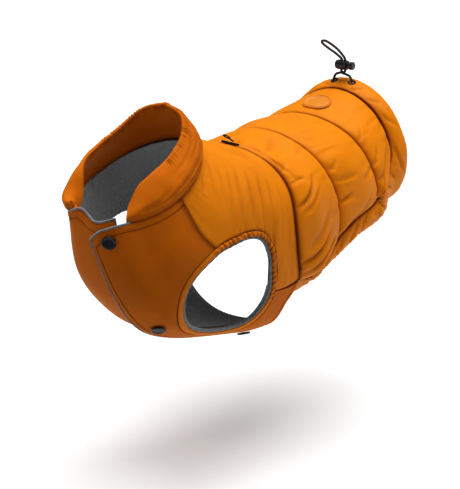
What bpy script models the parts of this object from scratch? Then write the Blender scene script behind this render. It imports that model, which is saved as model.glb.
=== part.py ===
"""Dog winter coat: softshell yoke and chest, three quilted channels, hem band and collar.

Frame: metres, +Z up, the head end towards -Y and the wearer's left towards +X.
The origin is inside the back, on the spine, where the wearer's back carries the coat.

The coat is laid out on one body form.  A point of it has a station s, which runs along the
spine from the neck seam to the tail, and an angle, 0 on the spine and 180 under the chest,
positive on the wearer's left.  Every cloth piece is a patch of that form with its own wall.
"""

import math

import bmesh
import bpy
import numpy as np
from mathutils import Matrix, Vector

MM = 0.001

# ---------------------------------------------------------------- driving sizes, millimetres
WALL = 2.0              # softshell with its backing
LINING = 1.2            # fleece lining
SEAM_GAP = 0.30         # between two pieces sewn together
LAYER_GAP = 1.50        # between one layer of cloth and the next
ARMHOLE_GAP = 1.50      # between the binding and the faceted edge of the yoke
LINING_GAP = 2.00       # the lining stops this far short of the binding
SPINE_PUFF = 2.0        # height of the padding on the spine, where it lies flattest
PUFF = 5.5              # height of the padding in the middle of a quilted channel
BAND_PUFF = 5.0         # height of the padding in the hem band
BINDING = 6.5           # width of the armhole binding
BINDING_HALF = 2.1      # half its thickness
COLLAR_HALF = 2.6       # half the thickness of the padded collar
COLLAR_ROLL = 5.0       # how far the collar bulges over its seam
COLLAR_LEFT = 138.0     # angle at which the collar stops on the left of the throat
COLLAR_RIGHT = 150.0    # and on the right, where it goes on over the lower front
COLLAR_LEAN = 3.0       # how far the back of the collar leans out at its top
RIGHT_ROLL = 1.2        # how much thicker, as a share, the collar rolls at its right end
FLAP_LIFT = 5.9         # how far the left front stands over the right front
FLAP_FROM = 139.0       # the left front rises between these two angles
FLAP_TO = 151.0
LEFT_EDGE = 170.5       # angle of the left front edge, seen from outside
RIGHT_EDGE = 202.0      # angle of the right front edge, hidden under the left one
ZIP_HALF = 1.7          # half width of the zip in the seam behind the yoke
ZIP_ANGLE = 30.0        # the zip runs this far down each side of the spine
DEGREE = 1.4            # length of cloth to a degree round the body, near enough
SHOULDER = 91.0         # angle at which the shoulder seam meets the neck
YOKE_END = 111.0        # angles at which the seams round the body end, front to rear
MIDDLE_END = 107.5
REAR_END = 92.0
EYELET_FLOOR = 0.5      # thickness of an eyelet's closed floor
HOLD = np.array([0.0, 112.0, -12.5])   # the origin, measured from the nape of the neck seam

# Sections of the body form.  Columns: station s along the spine, y and z of the section's
# top and of its bottom, half width, how far the widest level sits below the middle (share),
# fullness (2 is an ellipse), and how far the sides bow towards the tail.
SECTIONS = np.array([
    # s, top_y, top_z, bottom_y, bottom_z, half_width, low, fullness, bow
    [0, 2, 14, -142, -56, 60, 0.02, 1.90, 0],
    [20, 22, 9, -117, -117, 73, 0.02, 2.15, 0],
    [40, 44, 2, -84, -161, 83, -0.05, 2.15, 0],
    [80, 86, -10, 50, -205, 88, -0.05, 2.30, 0],
    [150, 143, -5, 156, -190, 85, -0.05, 2.10, 8],
    [224, 219, 0, 240, -174, 85, 0.02, 2.15, 8],
    [290, 284, 18, 288, -136, 72, 0.04, 2.00, 6],
    [312, 306, 27, 312, -140, 76, 0.08, 2.00, 6],
])

# Top edge of the collar.  Columns: angle on the neck seam, then x, y and z from the nape.
COLLAR_TOP = np.array([
    # angle, x, y, z
    [0, 0, -26, 52],
    [35, 26, -32, 43],
    [60, 39, -47, 28],
    [85, 45, -75, 13],
    [110, 43, -97, 2],
    [126, 37, -109, -9],
    [138, 32, -115, -25],
    [150, 28, -124, -40],
])

# The neck edge dips at the throat.  Columns: angle, s.
NECK_EDGE = np.array([
    # angle, s
    [0, 0.0],
    [108, 0.0],
    [130, -1.4],
    [150, -3.0],
    [160, -2.4],
    [172, 0.3],
    [205, 0.3],
])

# Edge of the armhole, from the shoulder seam down the front and back over the top.
ARMHOLE = np.array([
    # s, angle
    [35, 99],
    [32, 113],
    [34, 126],
    [41, 139],
    [51, 149],
    [62, 152],
    [72, 146],
    [77, 133],
    [76, 117],
    [72, 104],
    [67, 93],
    [59, 87],
    [50, 87],
    [41, 92],
])
ARMHOLE_BACK = 8        # the row where the chest meets the lower end of the yoke

# The seam behind the yoke, which holds the zip.
YOKE_SEAM = np.array([
    # angle, s
    [0, 68],
    [14, 71],
    [30, 77],
    [50, 83],
    [85, 86],
    [111, 98],
])
MIDDLE_SEAM = np.array([
    # angle, s
    [0, 151],
    [50, 149],
    [75, 152],
    [108, 149],
])
REAR_SEAM = np.array([
    # angle, s
    [0, 223],
    [50, 224],
    [90, 227],
])

# The seam above the hem band, from the tail down the flank to the belly.  Columns: share of
# the way, s, angle.
HEM_SEAM = np.array([
    # share, s, angle
    [0.00, 290, 0],
    [0.10, 290, 28],
    [0.20, 289, 58],
    [0.28, 285, 84],
    [0.36, 260, 95],
    [0.44, 232, 93],
    [0.54, 204, 94],
    [0.64, 180, 98],
    [0.74, 160, 105],
    [0.84, 144, 114],
    [0.92, 122, 118],
    [1.00, 100, 112],
])
HEM_AT_REAR_SEAM = 0.455
HEM_AT_MIDDLE_SEAM = 0.79
HEM_EDGE = np.array([
    # share, s, angle
    [0.00, 312, 0],
    [0.10, 313, 28],
    [0.20, 313, 60],
    [0.28, 314, 88],
    [0.36, 308, 116],
    [0.44, 286, 123],
    [0.54, 240, 110],
    [0.64, 198, 109],
    [0.74, 174, 117],
    [0.84, 154, 125],
    [0.92, 131, 126],
    [1.00, 101, 121],
])
HEM_FLARE = 6.0         # the band stands off the flank by this much where it turns forward
BELLY_HEM = 100.0       # station of the hem under the chest
BELLY_CORNER = (97.0, 129.0)    # s and angle where that hem turns up the flank
SIDE_CORNER = (100.0, 113.0)    # and where it meets the hem band
RIGHT_FULL = 4.0        # the right front stands this much fuller beside the chest
NECK_TUCK = np.array([0.0, 12.0, 14.0])   # the right front leans in at the throat

# The largest folds, as troughs between two points.  Depth is negative for a ridge.
FOLDS = np.array([
    # s_from, angle_from, s_to, angle_to, width, depth
    [92, 100, 126, 66, 5.0, 2.4],
    [97, 108, 140, 88, 5.0, 2.2],
    [100, 48, 112, 66, 5.0, 1.4],
    [74, 16, 98, 4, 4.5, 1.6],
    [160, 100, 190, 62, 6.0, 1.6],
    [232, 88, 256, 58, 6.0, 2.2],
    [46, 80, 34, 52, 5.0, 1.2],
    [56, 79, 52, 46, 5.0, 1.4],
    [66, 82, 68, 52, 5.0, 1.2],
])

COLOURS = {
    # name: (base colour, roughness, metallic)
    "softshell": ((0.80, 0.29, 0.03), 0.62, 0.0),
    "quilted_shell": ((0.84, 0.32, 0.035), 0.50, 0.0),
    "trim": ((0.78, 0.28, 0.03), 0.60, 0.0),
    "fleece": ((0.085, 0.095, 0.10), 0.95, 0.0),
    "black_plastic": ((0.012, 0.013, 0.015), 0.38, 0.0),
    "black_cord": ((0.016, 0.017, 0.019), 0.80, 0.0),
    "rubber": ((0.80, 0.30, 0.035), 0.48, 0.0),
    "black_metal": ((0.02, 0.02, 0.022), 0.30, 0.85),
}


# ---------------------------------------------------------------- curves through short tables
def smooth(rows, x):
    """The values of a table's other columns at x, on a smooth curve through its rows."""
    t = rows[:, 0]
    y = rows[:, 1:]
    slope = np.gradient(y, t, axis=0)
    k = int(np.clip(np.searchsorted(t, x) - 1, 0, len(t) - 2))
    h = t[k + 1] - t[k]
    q = (x - t[k]) / h
    start = (1 + 2 * q) * (1 - q) ** 2 * y[k] + q * (1 - q) ** 2 * h * slope[k]
    end = q * q * (3 - 2 * q) * y[k + 1] + q * q * (q - 1) * h * slope[k + 1]
    return start + end


def around(rows, t):
    """The point at row number t of a closed table, on a smooth closed curve."""
    n = len(rows)
    k = int(math.floor(t))
    q = t - k
    before, start, end, after = (rows[(k + j) % n] for j in (-1, 0, 1, 2))
    bend = 2 * before - 5 * start + 4 * end - after
    return 0.5 * (2 * start + (end - before) * q + bend * q * q
                  + (3 * start - before - 3 * end + after) * q ** 3)


def step(low, high, x):
    """0 below low, 1 above high, smooth between."""
    q = min(1.0, max(0.0, (x - low) / (high - low)))
    return q * q * (3 - 2 * q)


# ---------------------------------------------------------------- the body form
def form(s, angle):
    """The point of the body form at station s and an angle in degrees, in millimetres."""
    top_y, top_z, bottom_y, bottom_z, half, low, full, bow = smooth(SECTIONS, s)
    turn = math.radians(angle)
    level = math.copysign(abs(math.cos(turn)) ** (2 / full), math.cos(turn))
    side = math.copysign(abs(math.sin(turn)) ** (2 / full), math.sin(turn))
    level -= low * (1 - level * level)
    span = np.array([0.0, (top_y - bottom_y) / 2, (top_z - bottom_z) / 2])
    back = np.array([0.0, span[2], -span[1]]) / np.linalg.norm(span)
    middle = np.array([0.0, (top_y + bottom_y) / 2, (top_z + bottom_z) / 2])
    across = np.array([half * side, 0.0, 0.0])
    return middle + across + span * level + back * bow * side * side - HOLD


def directions(s, angle):
    """Vectors along the coat and round it for one unit of s and of angle, and the normal."""
    along = form(s + 0.5, angle) - form(s - 0.5, angle)
    round_it = form(s, angle + 0.5) - form(s, angle - 0.5)
    outward = np.cross(round_it, along)
    return along, round_it, outward / np.linalg.norm(outward)


def lifted(s, angle, lift):
    """A point that stands off the form by lift millimetres."""
    return form(s, angle) + directions(s, angle)[2] * lift


def moved(s, angle, way, distance):
    """The s and angle reached from a point by going a distance along the form."""
    along, round_it, _ = directions(s, angle)
    basis = np.stack([along, round_it], axis=1)
    ds, da = np.linalg.lstsq(basis, way / np.linalg.norm(way) * distance, rcond=None)[0]
    return s + ds, angle + da


def relief(s, angle):
    """Depth of the main folds at a point."""
    depth = 0.0
    here = np.array([s, abs(angle) * DEGREE])
    for s0, a0, s1, a1, width, deep in FOLDS:
        start = np.array([s0, a0 * DEGREE])
        run = np.array([s1, a1 * DEGREE]) - start
        q = float(np.dot(here - start, run) / np.dot(run, run))
        off = np.linalg.norm(here - start - run * min(1.0, max(0.0, q)))
        depth += deep * math.exp(-((off / width) ** 2)) * step(-0.3, 0.4, q) * step(1.3, 0.6, q)
    return depth


# ---------------------------------------------------------------- seams
def armhole_edge(t, width):
    """The armhole's edge at row t, moved out over the cloth by a width, as s and angle."""
    s, angle = around(ARMHOLE, t)
    ahead = around(ARMHOLE, t + 0.05)
    way = form(*ahead) - form(s, angle)
    outward = np.cross(directions(s, angle)[2], way)
    middle = np.mean(ARMHOLE, axis=0)
    if np.dot(outward, form(s, angle) - form(*middle)) < 0:
        outward = -outward
    return np.array(moved(s, angle, outward, width))


def neck_edge(angle):
    return np.array([smooth(NECK_EDGE, angle)[0], angle])


def hem_seam(share):
    return smooth(HEM_SEAM, share)


def seam(rows, last):
    """A seam round the body, as a function from 0 on the spine to 1 at its last angle."""
    return lambda v: np.array([smooth(rows, v * last)[0], v * last])


def line(start, end):
    return lambda q: np.array(start) * (1 - q) + np.array(end) * q


def spine(start, end):
    """The stretch of the spine between two stations."""
    return line((start, 0.0), (end, 0.0))


def chain(*legs):
    """Several curves joined end to end, each with its own share of the way."""
    def curve(q):
        for upto, since, leg in legs:
            if q <= upto or upto >= 1.0:
                return leg((q - since) / (upto - since))
    return curve


def patch(front, rear, near, far):
    """The smooth patch between four curves: u runs from front to rear, v from near to far."""
    def point(u, v):
        ruled = front(v) * (1 - u) + rear(v) * u + near(u) * (1 - v) + far(u) * v
        corners = ((front(0) * (1 - u) + rear(0) * u) * (1 - v)
                   + (front(1) * (1 - u) + rear(1) * u) * v)
        return ruled - corners
    return point


def inset(point, u, v, gap_u, gap_v=SEAM_GAP / 2):
    """The patch's point with its edges drawn in by the gaps, each in millimetres."""
    length = np.linalg.norm(form(*point(1, v)) - form(*point(0, v))) + 0.5
    width = np.linalg.norm(form(*point(u, 1)) - form(*point(u, 0))) + 0.5
    cut_u = min(0.4, gap_u / length)
    cut_v = min(0.4, gap_v / width)
    return point(cut_u + u * (1 - 2 * cut_u), v * (1 - cut_v))


# ---------------------------------------------------------------- Blender helpers
def material(name):
    found = bpy.data.materials.get(name)
    if found:
        return found
    colour, roughness, metallic = COLOURS[name]
    made = bpy.data.materials.new(name)
    made.use_nodes = True
    shader = made.node_tree.nodes["Principled BSDF"]
    shader.inputs["Base Color"].default_value = (*colour, 1.0)
    shader.inputs["Roughness"].default_value = roughness
    shader.inputs["Metallic"].default_value = metallic
    return made


def finish_object(name, bm, finish, angle=40.0):
    """Turn a bmesh into a named, smooth shaded object with its material."""
    bmesh.ops.recalc_face_normals(bm, faces=bm.faces[:])
    if bm.calc_volume(signed=True) < 0:
        bmesh.ops.reverse_faces(bm, faces=bm.faces[:])
    mesh = bpy.data.meshes.new(name)
    bm.to_mesh(mesh)
    bm.free()
    mesh.shade_smooth()
    mesh.set_sharp_from_angle(angle=math.radians(angle))
    mesh.materials.append(material(finish))
    made = bpy.data.objects.new(name, mesh)
    bpy.context.scene.collection.objects.link(made)
    return made


def grid(cells, tall):
    """A flat grid of cells from 0 to 1 each way, or a slab of them one unit tall."""
    bm = bmesh.new()
    bmesh.ops.create_grid(bm, x_segments=cells[0], y_segments=cells[1], size=0.5)
    bmesh.ops.translate(bm, verts=bm.verts[:], vec=(0.5, 0.5, 0.0))
    if tall:
        grown = bmesh.ops.extrude_face_region(bm, geom=bm.faces[:], use_keep_orig=True)
        top = [g for g in grown["geom"] if isinstance(g, bmesh.types.BMVert)]
        bmesh.ops.translate(bm, verts=top, vec=(0.0, 0.0, 1.0))
    return bm


def bent_slab(name, cells, shape, finish):
    """A slab of cloth: shape(u, v, outside) gives each corner's place in millimetres."""
    bm = grid(cells, True)
    for vert in bm.verts:
        vert.co = Vector(shape(vert.co.x, vert.co.y, vert.co.z > 0.5) * MM)
    bmesh.ops.triangulate(bm, faces=bm.faces[:])
    return finish_object(name, bm, finish)


def bent_tube(name, cells, shape, finish, closed):
    """A tube of cloth: u runs along it, and v once round its section."""
    bm = grid(cells, False)
    for vert in bm.verts:
        vert.co = Vector(shape(vert.co.x, vert.co.y) * MM)
    bmesh.ops.remove_doubles(bm, verts=bm.verts[:], dist=0.00002)
    if not closed:
        ends = [e for e in bm.edges if e.is_boundary]
        bmesh.ops.holes_fill(bm, edges=ends, sides=0)
    return finish_object(name, bm, finish, 60.0)


def seat(s, angle, lift):
    """A matrix on the form at a point: Z is the normal and Y runs along the coat."""
    along, _, outward = directions(s, angle)
    up = Vector(outward).normalized()
    side = Vector(along).cross(up).normalized()
    ahead = up.cross(side)
    turn = Matrix((side, ahead, up)).transposed().to_4x4()
    return Matrix.Translation(Vector(lifted(s, angle, lift) * MM)) @ turn


def turned(name, profile, steps, finish, where):
    """A solid turned from its profile of radii and heights, in millimetres."""
    bm = bmesh.new()
    ring = [bm.verts.new((r * MM, 0.0, z * MM)) for r, z in profile]
    edges = [bm.edges.new(pair) for pair in zip(ring, ring[1:])]
    bmesh.ops.spin(bm, geom=ring + edges, cent=(0, 0, 0), axis=(0, 0, 1),
                   angle=math.tau, steps=steps, use_merge=True)
    bmesh.ops.remove_doubles(bm, verts=bm.verts[:], dist=0.00001)
    made = finish_object(name, bm, finish)
    made.matrix_world = where
    return made


# ---------------------------------------------------------------- cloth panels
def wall_lift(outside, height=0.0):
    return height if outside else -WALL


def lining_lift(outside):
    inner = -WALL - LAYER_GAP - LINING
    return -WALL - LAYER_GAP if outside else inner


def mirrored(point, u, across, gap_u, gap_v=SEAM_GAP / 2):
    """A patch that lies on both sides of the spine: across runs from right 0 to left 1."""
    v = 2 * across - 1
    s, angle = inset(point, u, abs(v), gap_u, gap_v)
    return s, math.copysign(angle, v)


def yoke_patch(gap):
    """From the neck seam to the zip seam, round the shoulder and behind the armhole."""
    shoulder = neck_edge(SHOULDER)
    corner = armhole_edge(0, BINDING + gap)
    back = armhole_edge(ARMHOLE_BACK, BINDING + gap)
    rows = len(ARMHOLE)

    def round_arm(q):
        return armhole_edge(rows + (ARMHOLE_BACK - rows) * q, BINDING + gap)

    side = chain((0.22, 0.0, line(shoulder, corner)),
                 (0.84, 0.22, round_arm),
                 (1.0, 0.84, line(back, seam(YOKE_SEAM, YOKE_END)(1.0))))
    return patch(lambda v: neck_edge(SHOULDER * v), seam(YOKE_SEAM, YOKE_END),
                 spine(0.0, YOKE_SEAM[0, 1]), side)


def zip_room(angle):
    """Half the gap at the yoke seam, which widens where the zip lies in it."""
    return SEAM_GAP / 2 + (ZIP_HALF + 0.7) * step(ZIP_ANGLE + 7, ZIP_ANGLE, abs(angle))


def build_yoke():
    point = yoke_patch(ARMHOLE_GAP)

    def shape(across, u, outside):
        v = abs(2 * across - 1)
        s, angle = mirrored(point, u, across, SEAM_GAP / 2)
        s -= zip_room(angle) * step(0.8, 1.0, u) * step(0.95, 0.8, v)
        lift = -relief(s, angle) * step(0.0, 0.2, u) * step(1.0, 0.85, v)
        return lifted(s, angle, lift + wall_lift(outside))
    return bent_slab("yoke", (26, 12), shape, "softshell")


def round_off(u, power=0.5):
    """Height of the padding across a channel: 0 at both seams and 1 in the middle."""
    return max(0.0, 1 - (2 * u - 1) ** 2) ** power


def fullness(v, most):
    """The padding's height at a share of the way down the side: least on the spine."""
    return SPINE_PUFF + (most - SPINE_PUFF) * step(0.15, 0.50, v)


def channel_patches():
    """The three quilted channels, front to rear."""
    def hem_part(start, end):
        return lambda q: hem_seam(start + (end - start) * q)
    yoke, middle, rear, hem = (rows[0, 1] for rows in (YOKE_SEAM, MIDDLE_SEAM, REAR_SEAM, HEM_SEAM))
    point = REAR_SEAM[-1]
    first = patch(seam(YOKE_SEAM, YOKE_END), seam(MIDDLE_SEAM, MIDDLE_END),
                  spine(yoke, middle), hem_part(1.0, HEM_AT_MIDDLE_SEAM))
    second = patch(seam(MIDDLE_SEAM, MIDDLE_END), seam(REAR_SEAM, REAR_END),
                   spine(middle, rear), hem_part(HEM_AT_MIDDLE_SEAM, HEM_AT_REAR_SEAM))
    third = patch(seam(REAR_SEAM, point[0]), hem_part(0.0, HEM_AT_REAR_SEAM - 0.015),
                  spine(rear, hem), line(point[::-1], point[::-1] + 2.0))
    return {"channel_front": first, "channel_middle": second, "channel_rear": third}


def build_channel(name, point):
    def shape(across, t, outside):
        u = (1 - math.cos(math.pi * t)) / 2
        v = abs(2 * across - 1)
        s, angle = mirrored(point, u, across, SEAM_GAP / 2, 0.6)
        if name == "channel_front":
            s += zip_room(angle) * step(0.2, 0.0, u)
        height = fullness(v, PUFF) * round_off(u) * step(1.0, 0.86, v)
        height -= relief(s, angle) * round_off(u) * step(1.0, 0.9, v)
        return lifted(s, angle, wall_lift(outside, height))
    return bent_slab(name, (26, 5), shape, "quilted_shell")


def build_hem_band():
    def shape(across, t, outside):
        u = (1 - math.cos(math.pi * t)) / 2
        share = abs(2 * across - 1)
        width = np.linalg.norm(form(*smooth(HEM_EDGE, share)) - form(*hem_seam(share)))
        cut = 1.0 / width
        share_u = cut + u * (1 - cut)
        s, angle = (hem_seam(share) * (1 - share_u) + smooth(HEM_EDGE, share) * share_u)
        height = fullness(share / 0.36, BAND_PUFF) * round_off(u) * step(1.0, 0.9, share)
        flare = HEM_FLARE * math.exp(-((share - 0.45) / 0.08) ** 2) * share_u
        return lifted(s, math.copysign(angle, across - 0.5), flare + wall_lift(outside, height))
    return bent_slab("hem_band", (44, 4), shape, "quilted_shell")


def chest_curves(edge):
    """The armhole side and the outer side of a chest panel whose front edge has an angle."""
    def inner(q):
        return armhole_edge(ARMHOLE_BACK * q, BINDING)

    def neck(q):
        return neck_edge(SHOULDER + (edge - SHOULDER) * q)
    outer = chain((0.30, 0.0, neck),
                  (0.62, 0.30, line((0.3, edge), (BELLY_HEM, edge))),
                  (0.90, 0.62, line((BELLY_HEM, edge), BELLY_CORNER)),
                  (1.0, 0.90, line(BELLY_CORNER, SIDE_CORNER)))
    return inner, outer


def flap_lift(angle):
    return FLAP_LIFT * step(FLAP_FROM, FLAP_TO, angle)


def right_full(s, angle):
    """How far the right front swells out beside the chest."""
    away = ((s - 18.0) / 14.0) ** 2 + ((angle - 150.0) / 20.0) ** 2
    return RIGHT_FULL * math.exp(-away)


def tucked(s, angle, place):
    """The right front's place, leaning in towards the throat at the neck."""
    lean = max(0.0, 1 - s / 30.0) ** 2 * step(140.0, 172.0, angle)
    return place + NECK_TUCK * lean


def chest_point(side, u, v, lift, gap):
    """A point of a chest panel: u from the armhole outwards, v from the shoulder round."""
    inner, outer = chest_curves(LEFT_EDGE if side > 0 else RIGHT_EDGE)
    start = inner(v)
    end = outer(v)
    width = np.linalg.norm(form(*end) - form(*start)) + 0.5
    near = gap / width
    far = SEAM_GAP / width
    q = near + u * (1 - near - far)
    s, angle = start * (1 - q) + end * q
    if side > 0:
        return lifted(s, angle, lift + flap_lift(angle))
    return tucked(s, angle, lifted(s, -angle, lift + right_full(s, angle)))


def build_chest(name, side, lift, gap, finish, cells):
    slot = 0.0012       # share of the way that stays open at the shoulder and the side seam

    def shape(v, u, outside):
        return chest_point(side, u, slot + v * (1 - 2 * slot), lift(outside), gap)
    return bent_slab(name, cells, shape, finish)


def build_lining_yoke():
    point = yoke_patch(LINING_GAP)

    def shape(across, u, outside):
        s, angle = mirrored(point, u, across, 0.4, 0.4)
        v = abs(2 * across - 1)
        lift = -relief(s, angle) * step(0.0, 0.2, u) * step(1.0, 0.85, v)
        return lifted(s, angle, lift + lining_lift(outside))
    return bent_slab("lining_yoke", (26, 6), shape, "fleece")


def build_lining_back():
    """One lining behind all three channels, from the yoke seam to the hem seam."""
    def shape(across, u, outside):
        v = abs(2 * across - 1)
        share = v * 0.97
        front = seam(YOKE_SEAM, 109.5)(v)
        rear = hem_seam(share)
        q = 0.004 + u * 0.992
        s, angle = front * (1 - q) + rear * q
        return lifted(s, math.copysign(angle, across - 0.5), lining_lift(outside))
    return bent_slab("lining_back", (26, 8), shape, "fleece")


def build_binding(name, side):
    """The elastic binding rolled round an armhole's edge."""
    rows = len(ARMHOLE)

    def shape(u, v):
        t = u * rows
        turn = v * math.tau
        reach = BINDING / 2 - 0.15
        s, angle = armhole_edge(t, BINDING / 2 + reach * math.cos(turn))
        lift = -WALL / 2 + BINDING_HALF * math.sin(turn)
        if side > 0:
            lift += flap_lift(angle)
        return lifted(s, side * angle, lift)
    return bent_tube(name, (32, 6), shape, "trim", True)


def collar_point(angle, rise, out):
    """A point of the collar: rise 0 at the seam and 1 at the top, out from its middle."""
    start = neck_edge(abs(angle))[0]
    base = form(start, angle)
    along, round_it, outward = directions(start, angle)
    base = base - along / np.linalg.norm(along) * 1.9 - outward * WALL / 2
    if angle < 0:
        base = tucked(start, -angle, base)
    x, y, z = smooth(COLLAR_TOP, abs(angle))
    top = np.array([math.copysign(x, angle), y, z]) - HOLD
    up = top - base
    away = np.cross(round_it, up)
    away = away / np.linalg.norm(away)
    if np.dot(away, outward) < 0:
        away = -away
    bulge = COLLAR_ROLL * math.sin(math.pi * rise ** 0.62) * (1 - 0.25 * rise)
    bulge += COLLAR_LEAN * rise * step(70.0, 30.0, abs(angle))
    return base + up * rise + away * (bulge + out)


def build_collar():
    def shape(u, v):
        angle = (COLLAR_LEFT + COLLAR_RIGHT) * u - COLLAR_RIGHT
        turn = v * math.tau
        rise = 0.5 - 0.5 * math.cos(turn)
        thick = COLLAR_HALF * abs(math.sin(turn)) ** 0.6 * (0.55 + 0.45 * step(0.0, 0.3, rise))
        thick *= 0.5 + 0.5 * step(1.0, 0.94, abs(2 * u - 1)) + RIGHT_ROLL * step(-108, -132, angle)
        return collar_point(angle, rise, math.copysign(thick, math.sin(turn)))
    return bent_tube("collar", (36, 10), shape, "softshell", False)


# ---------------------------------------------------------------- hardware
SNAPS = {
    # name: (s, angle) on the left front
    "snap_cap_throat": (1.3, 155.5),
    "snap_cap_chest": (41.5, 158.5),
    "snap_cap_belly": (86.0, 163.0),
}
SNAP_RADIUS = 7.4


def build_snaps():
    profile = [(0, 0), (SNAP_RADIUS - 0.6, 0), (SNAP_RADIUS, 0.6), (SNAP_RADIUS, 1.2),
               (SNAP_RADIUS - 0.9, 2.0), (SNAP_RADIUS - 2.0, 2.0), (SNAP_RADIUS - 2.6, 1.5),
               (0, 1.5)]
    for name, (s, angle) in SNAPS.items():
        turned(name, profile, 24, "black_plastic", seat(s, angle, flap_lift(angle) + 0.75))


BADGE = (250.0, 0.0, 19.0, 0.84)    # s, angle, half width across the back, length to width


def build_badge():
    s, angle, half, share = BADGE
    edge = 2.0
    bm = grid((12, 8), True)
    for vert in bm.verts:
        x = 2 * vert.co.x - 1
        y = 2 * vert.co.y - 1
        disc_x = x * math.sqrt(1 - y * y / 2)
        disc_y = y * math.sqrt(1 - x * x / 2)
        far = math.hypot(disc_x, disc_y)
        here_s, here_angle = moved(s, angle, np.array([1.0, 0.0, 0.0]), half * disc_x + 1e-6)
        here_s += half * share * disc_y
        u = (here_s - REAR_SEAM[0, 1]) / (HEM_SEAM[0, 1] - REAR_SEAM[0, 1])
        lift = SPINE_PUFF * round_off(u) + 0.35
        if vert.co.z > 0.5:
            rim = math.exp(-(((1 - far) * half - edge) / 1.2) ** 2)
            lift += 0.9 + 0.7 * rim - 0.5 * step(0.97, 1.0, far)
        vert.co = Vector(lifted(here_s, here_angle, lift) * MM)
    return finish_object("badge", bm, "rubber")


EYELETS = {"eyelet_left": 9.0, "eyelet_right": -9.0}    # angle at the tail
EYELET_S = 303.0
EYELET_RADIUS = 4.8


def eyelet_seat(angle):
    u = (EYELET_S - HEM_SEAM[0, 1]) / (HEM_EDGE[0, 1] - HEM_SEAM[0, 1])
    return seat(EYELET_S, angle, SPINE_PUFF * round_off(u) + 0.5)


def build_eyelets():
    hole = 3.0
    profile = [(0, 0), (EYELET_RADIUS, 0), (EYELET_RADIUS, 0.6), (EYELET_RADIUS - 0.8, 1.4),
               (hole + 0.5, 1.4), (hole, 0.9), (hole, EYELET_FLOOR), (0, EYELET_FLOOR)]
    for name, angle in EYELETS.items():
        turned(name, profile, 20, "black_metal", eyelet_seat(angle))


CORD = 3.0              # diameter of the elastic cord
LOCK = np.array([0.0, 296.0, 44.0]) - HOLD      # middle of the cord lock
LEG = 2.3               # each leg of the cord passes the lock this far from its middle
# The cord's own points from the left eyelet over the loop to the right one, from the nape.
CORD_ROUTE = [
    # x, y, z
    (10.4, 294.2, 31.9),
    (6.0, 293.2, 33.9),
    (0.0, 293.6, 35.3),
    (-2.2, 295.5, 38.7),
    (-2.3, 296.0, 44.0),
    (-2.4, 295.8, 50.5),
    (-5.6, 289.0, 57.5),
    (-10.0, 279.0, 65.0),
    (-12.8, 271.0, 71.5),
    (-10.6, 267.8, 74.9),
    (-6.2, 270.5, 74.1),
    (-0.8, 281.0, 66.0),
    (1.8, 290.5, 57.0),
    (2.4, 295.8, 50.5),
    (2.3, 296.0, 44.0),
    (2.2, 296.5, 38.7),
    (0.0, 298.4, 35.3),
    (-6.0, 297.6, 33.9),
    (-10.4, 296.2, 31.9),
]


def cord_ends(above):
    """Points over the two eyelets' floors, in millimetres."""
    return [np.array(eyelet_seat(angle) @ Vector((0, 0, above * MM))) / MM
            for angle in EYELETS.values()]


def spline_points(points, count):
    """Evenly numbered points of a smooth open curve through the given ones."""
    rows = np.array([[i, *p] for i, p in enumerate(points)], dtype=float)
    stations = np.linspace(0, len(points) - 1, count)
    return [smooth(rows, x) for x in stations]


def build_cord():
    left, right = cord_ends(EYELET_FLOOR + 0.7)
    left_rim, right_rim = cord_ends(EYELET_FLOOR + 2.0)
    between = [np.array(p) - HOLD for p in CORD_ROUTE]
    route = spline_points([left, left_rim] + between + [right_rim, right], 43)
    data = bpy.data.curves.new("drawcord", "CURVE")
    data.dimensions = "3D"
    data.bevel_depth = CORD / 2 * MM
    data.bevel_resolution = 2
    data.use_fill_caps = True
    spline = data.splines.new("POLY")
    spline.points.add(len(route) - 1)
    for spot, place in zip(spline.points, route):
        spot.co = (*(place * MM), 1.0)
    data.materials.append(material("black_cord"))
    made = bpy.data.objects.new("drawcord", data)
    bpy.context.scene.collection.objects.link(made)


LOCK_RADIUS = 5.6
PLUNGER_TRAVEL = 3.0
BORE = 4.0              # radius of the bore that the plunger slides in


def lock_seat():
    """The cord lock lies across the coat: its own Z axis points to the wearer's left."""
    return Matrix.Translation(Vector(LOCK * MM)) @ Matrix.Rotation(math.pi / 2, 4, "Y")


def cutter(name, size, middle):
    """A box with rounded ends to cut the cord's slot through the lock."""
    bm = bmesh.new()
    bmesh.ops.create_cube(bm, size=1.0)
    bmesh.ops.scale(bm, verts=bm.verts[:], vec=Vector(size) * MM)
    upright = [e for e in bm.edges if abs(e.verts[0].co.z - e.verts[1].co.z) > size[2] / 2 * MM]
    bmesh.ops.bevel(bm, geom=upright, offset=1.9 * MM, segments=4, profile=0.5,
                    affect="EDGES", material=-1)
    made = finish_object(name, bm, "black_plastic")
    made.matrix_world = Matrix.Translation(Vector(np.array(middle) * MM))
    made.hide_render = True
    made.display_type = "WIRE"
    return made


def cut(target, tool):
    boolean = target.modifiers.new("slot", "BOOLEAN")
    boolean.operation = "DIFFERENCE"
    boolean.solver = "EXACT"
    boolean.object = tool


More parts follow.
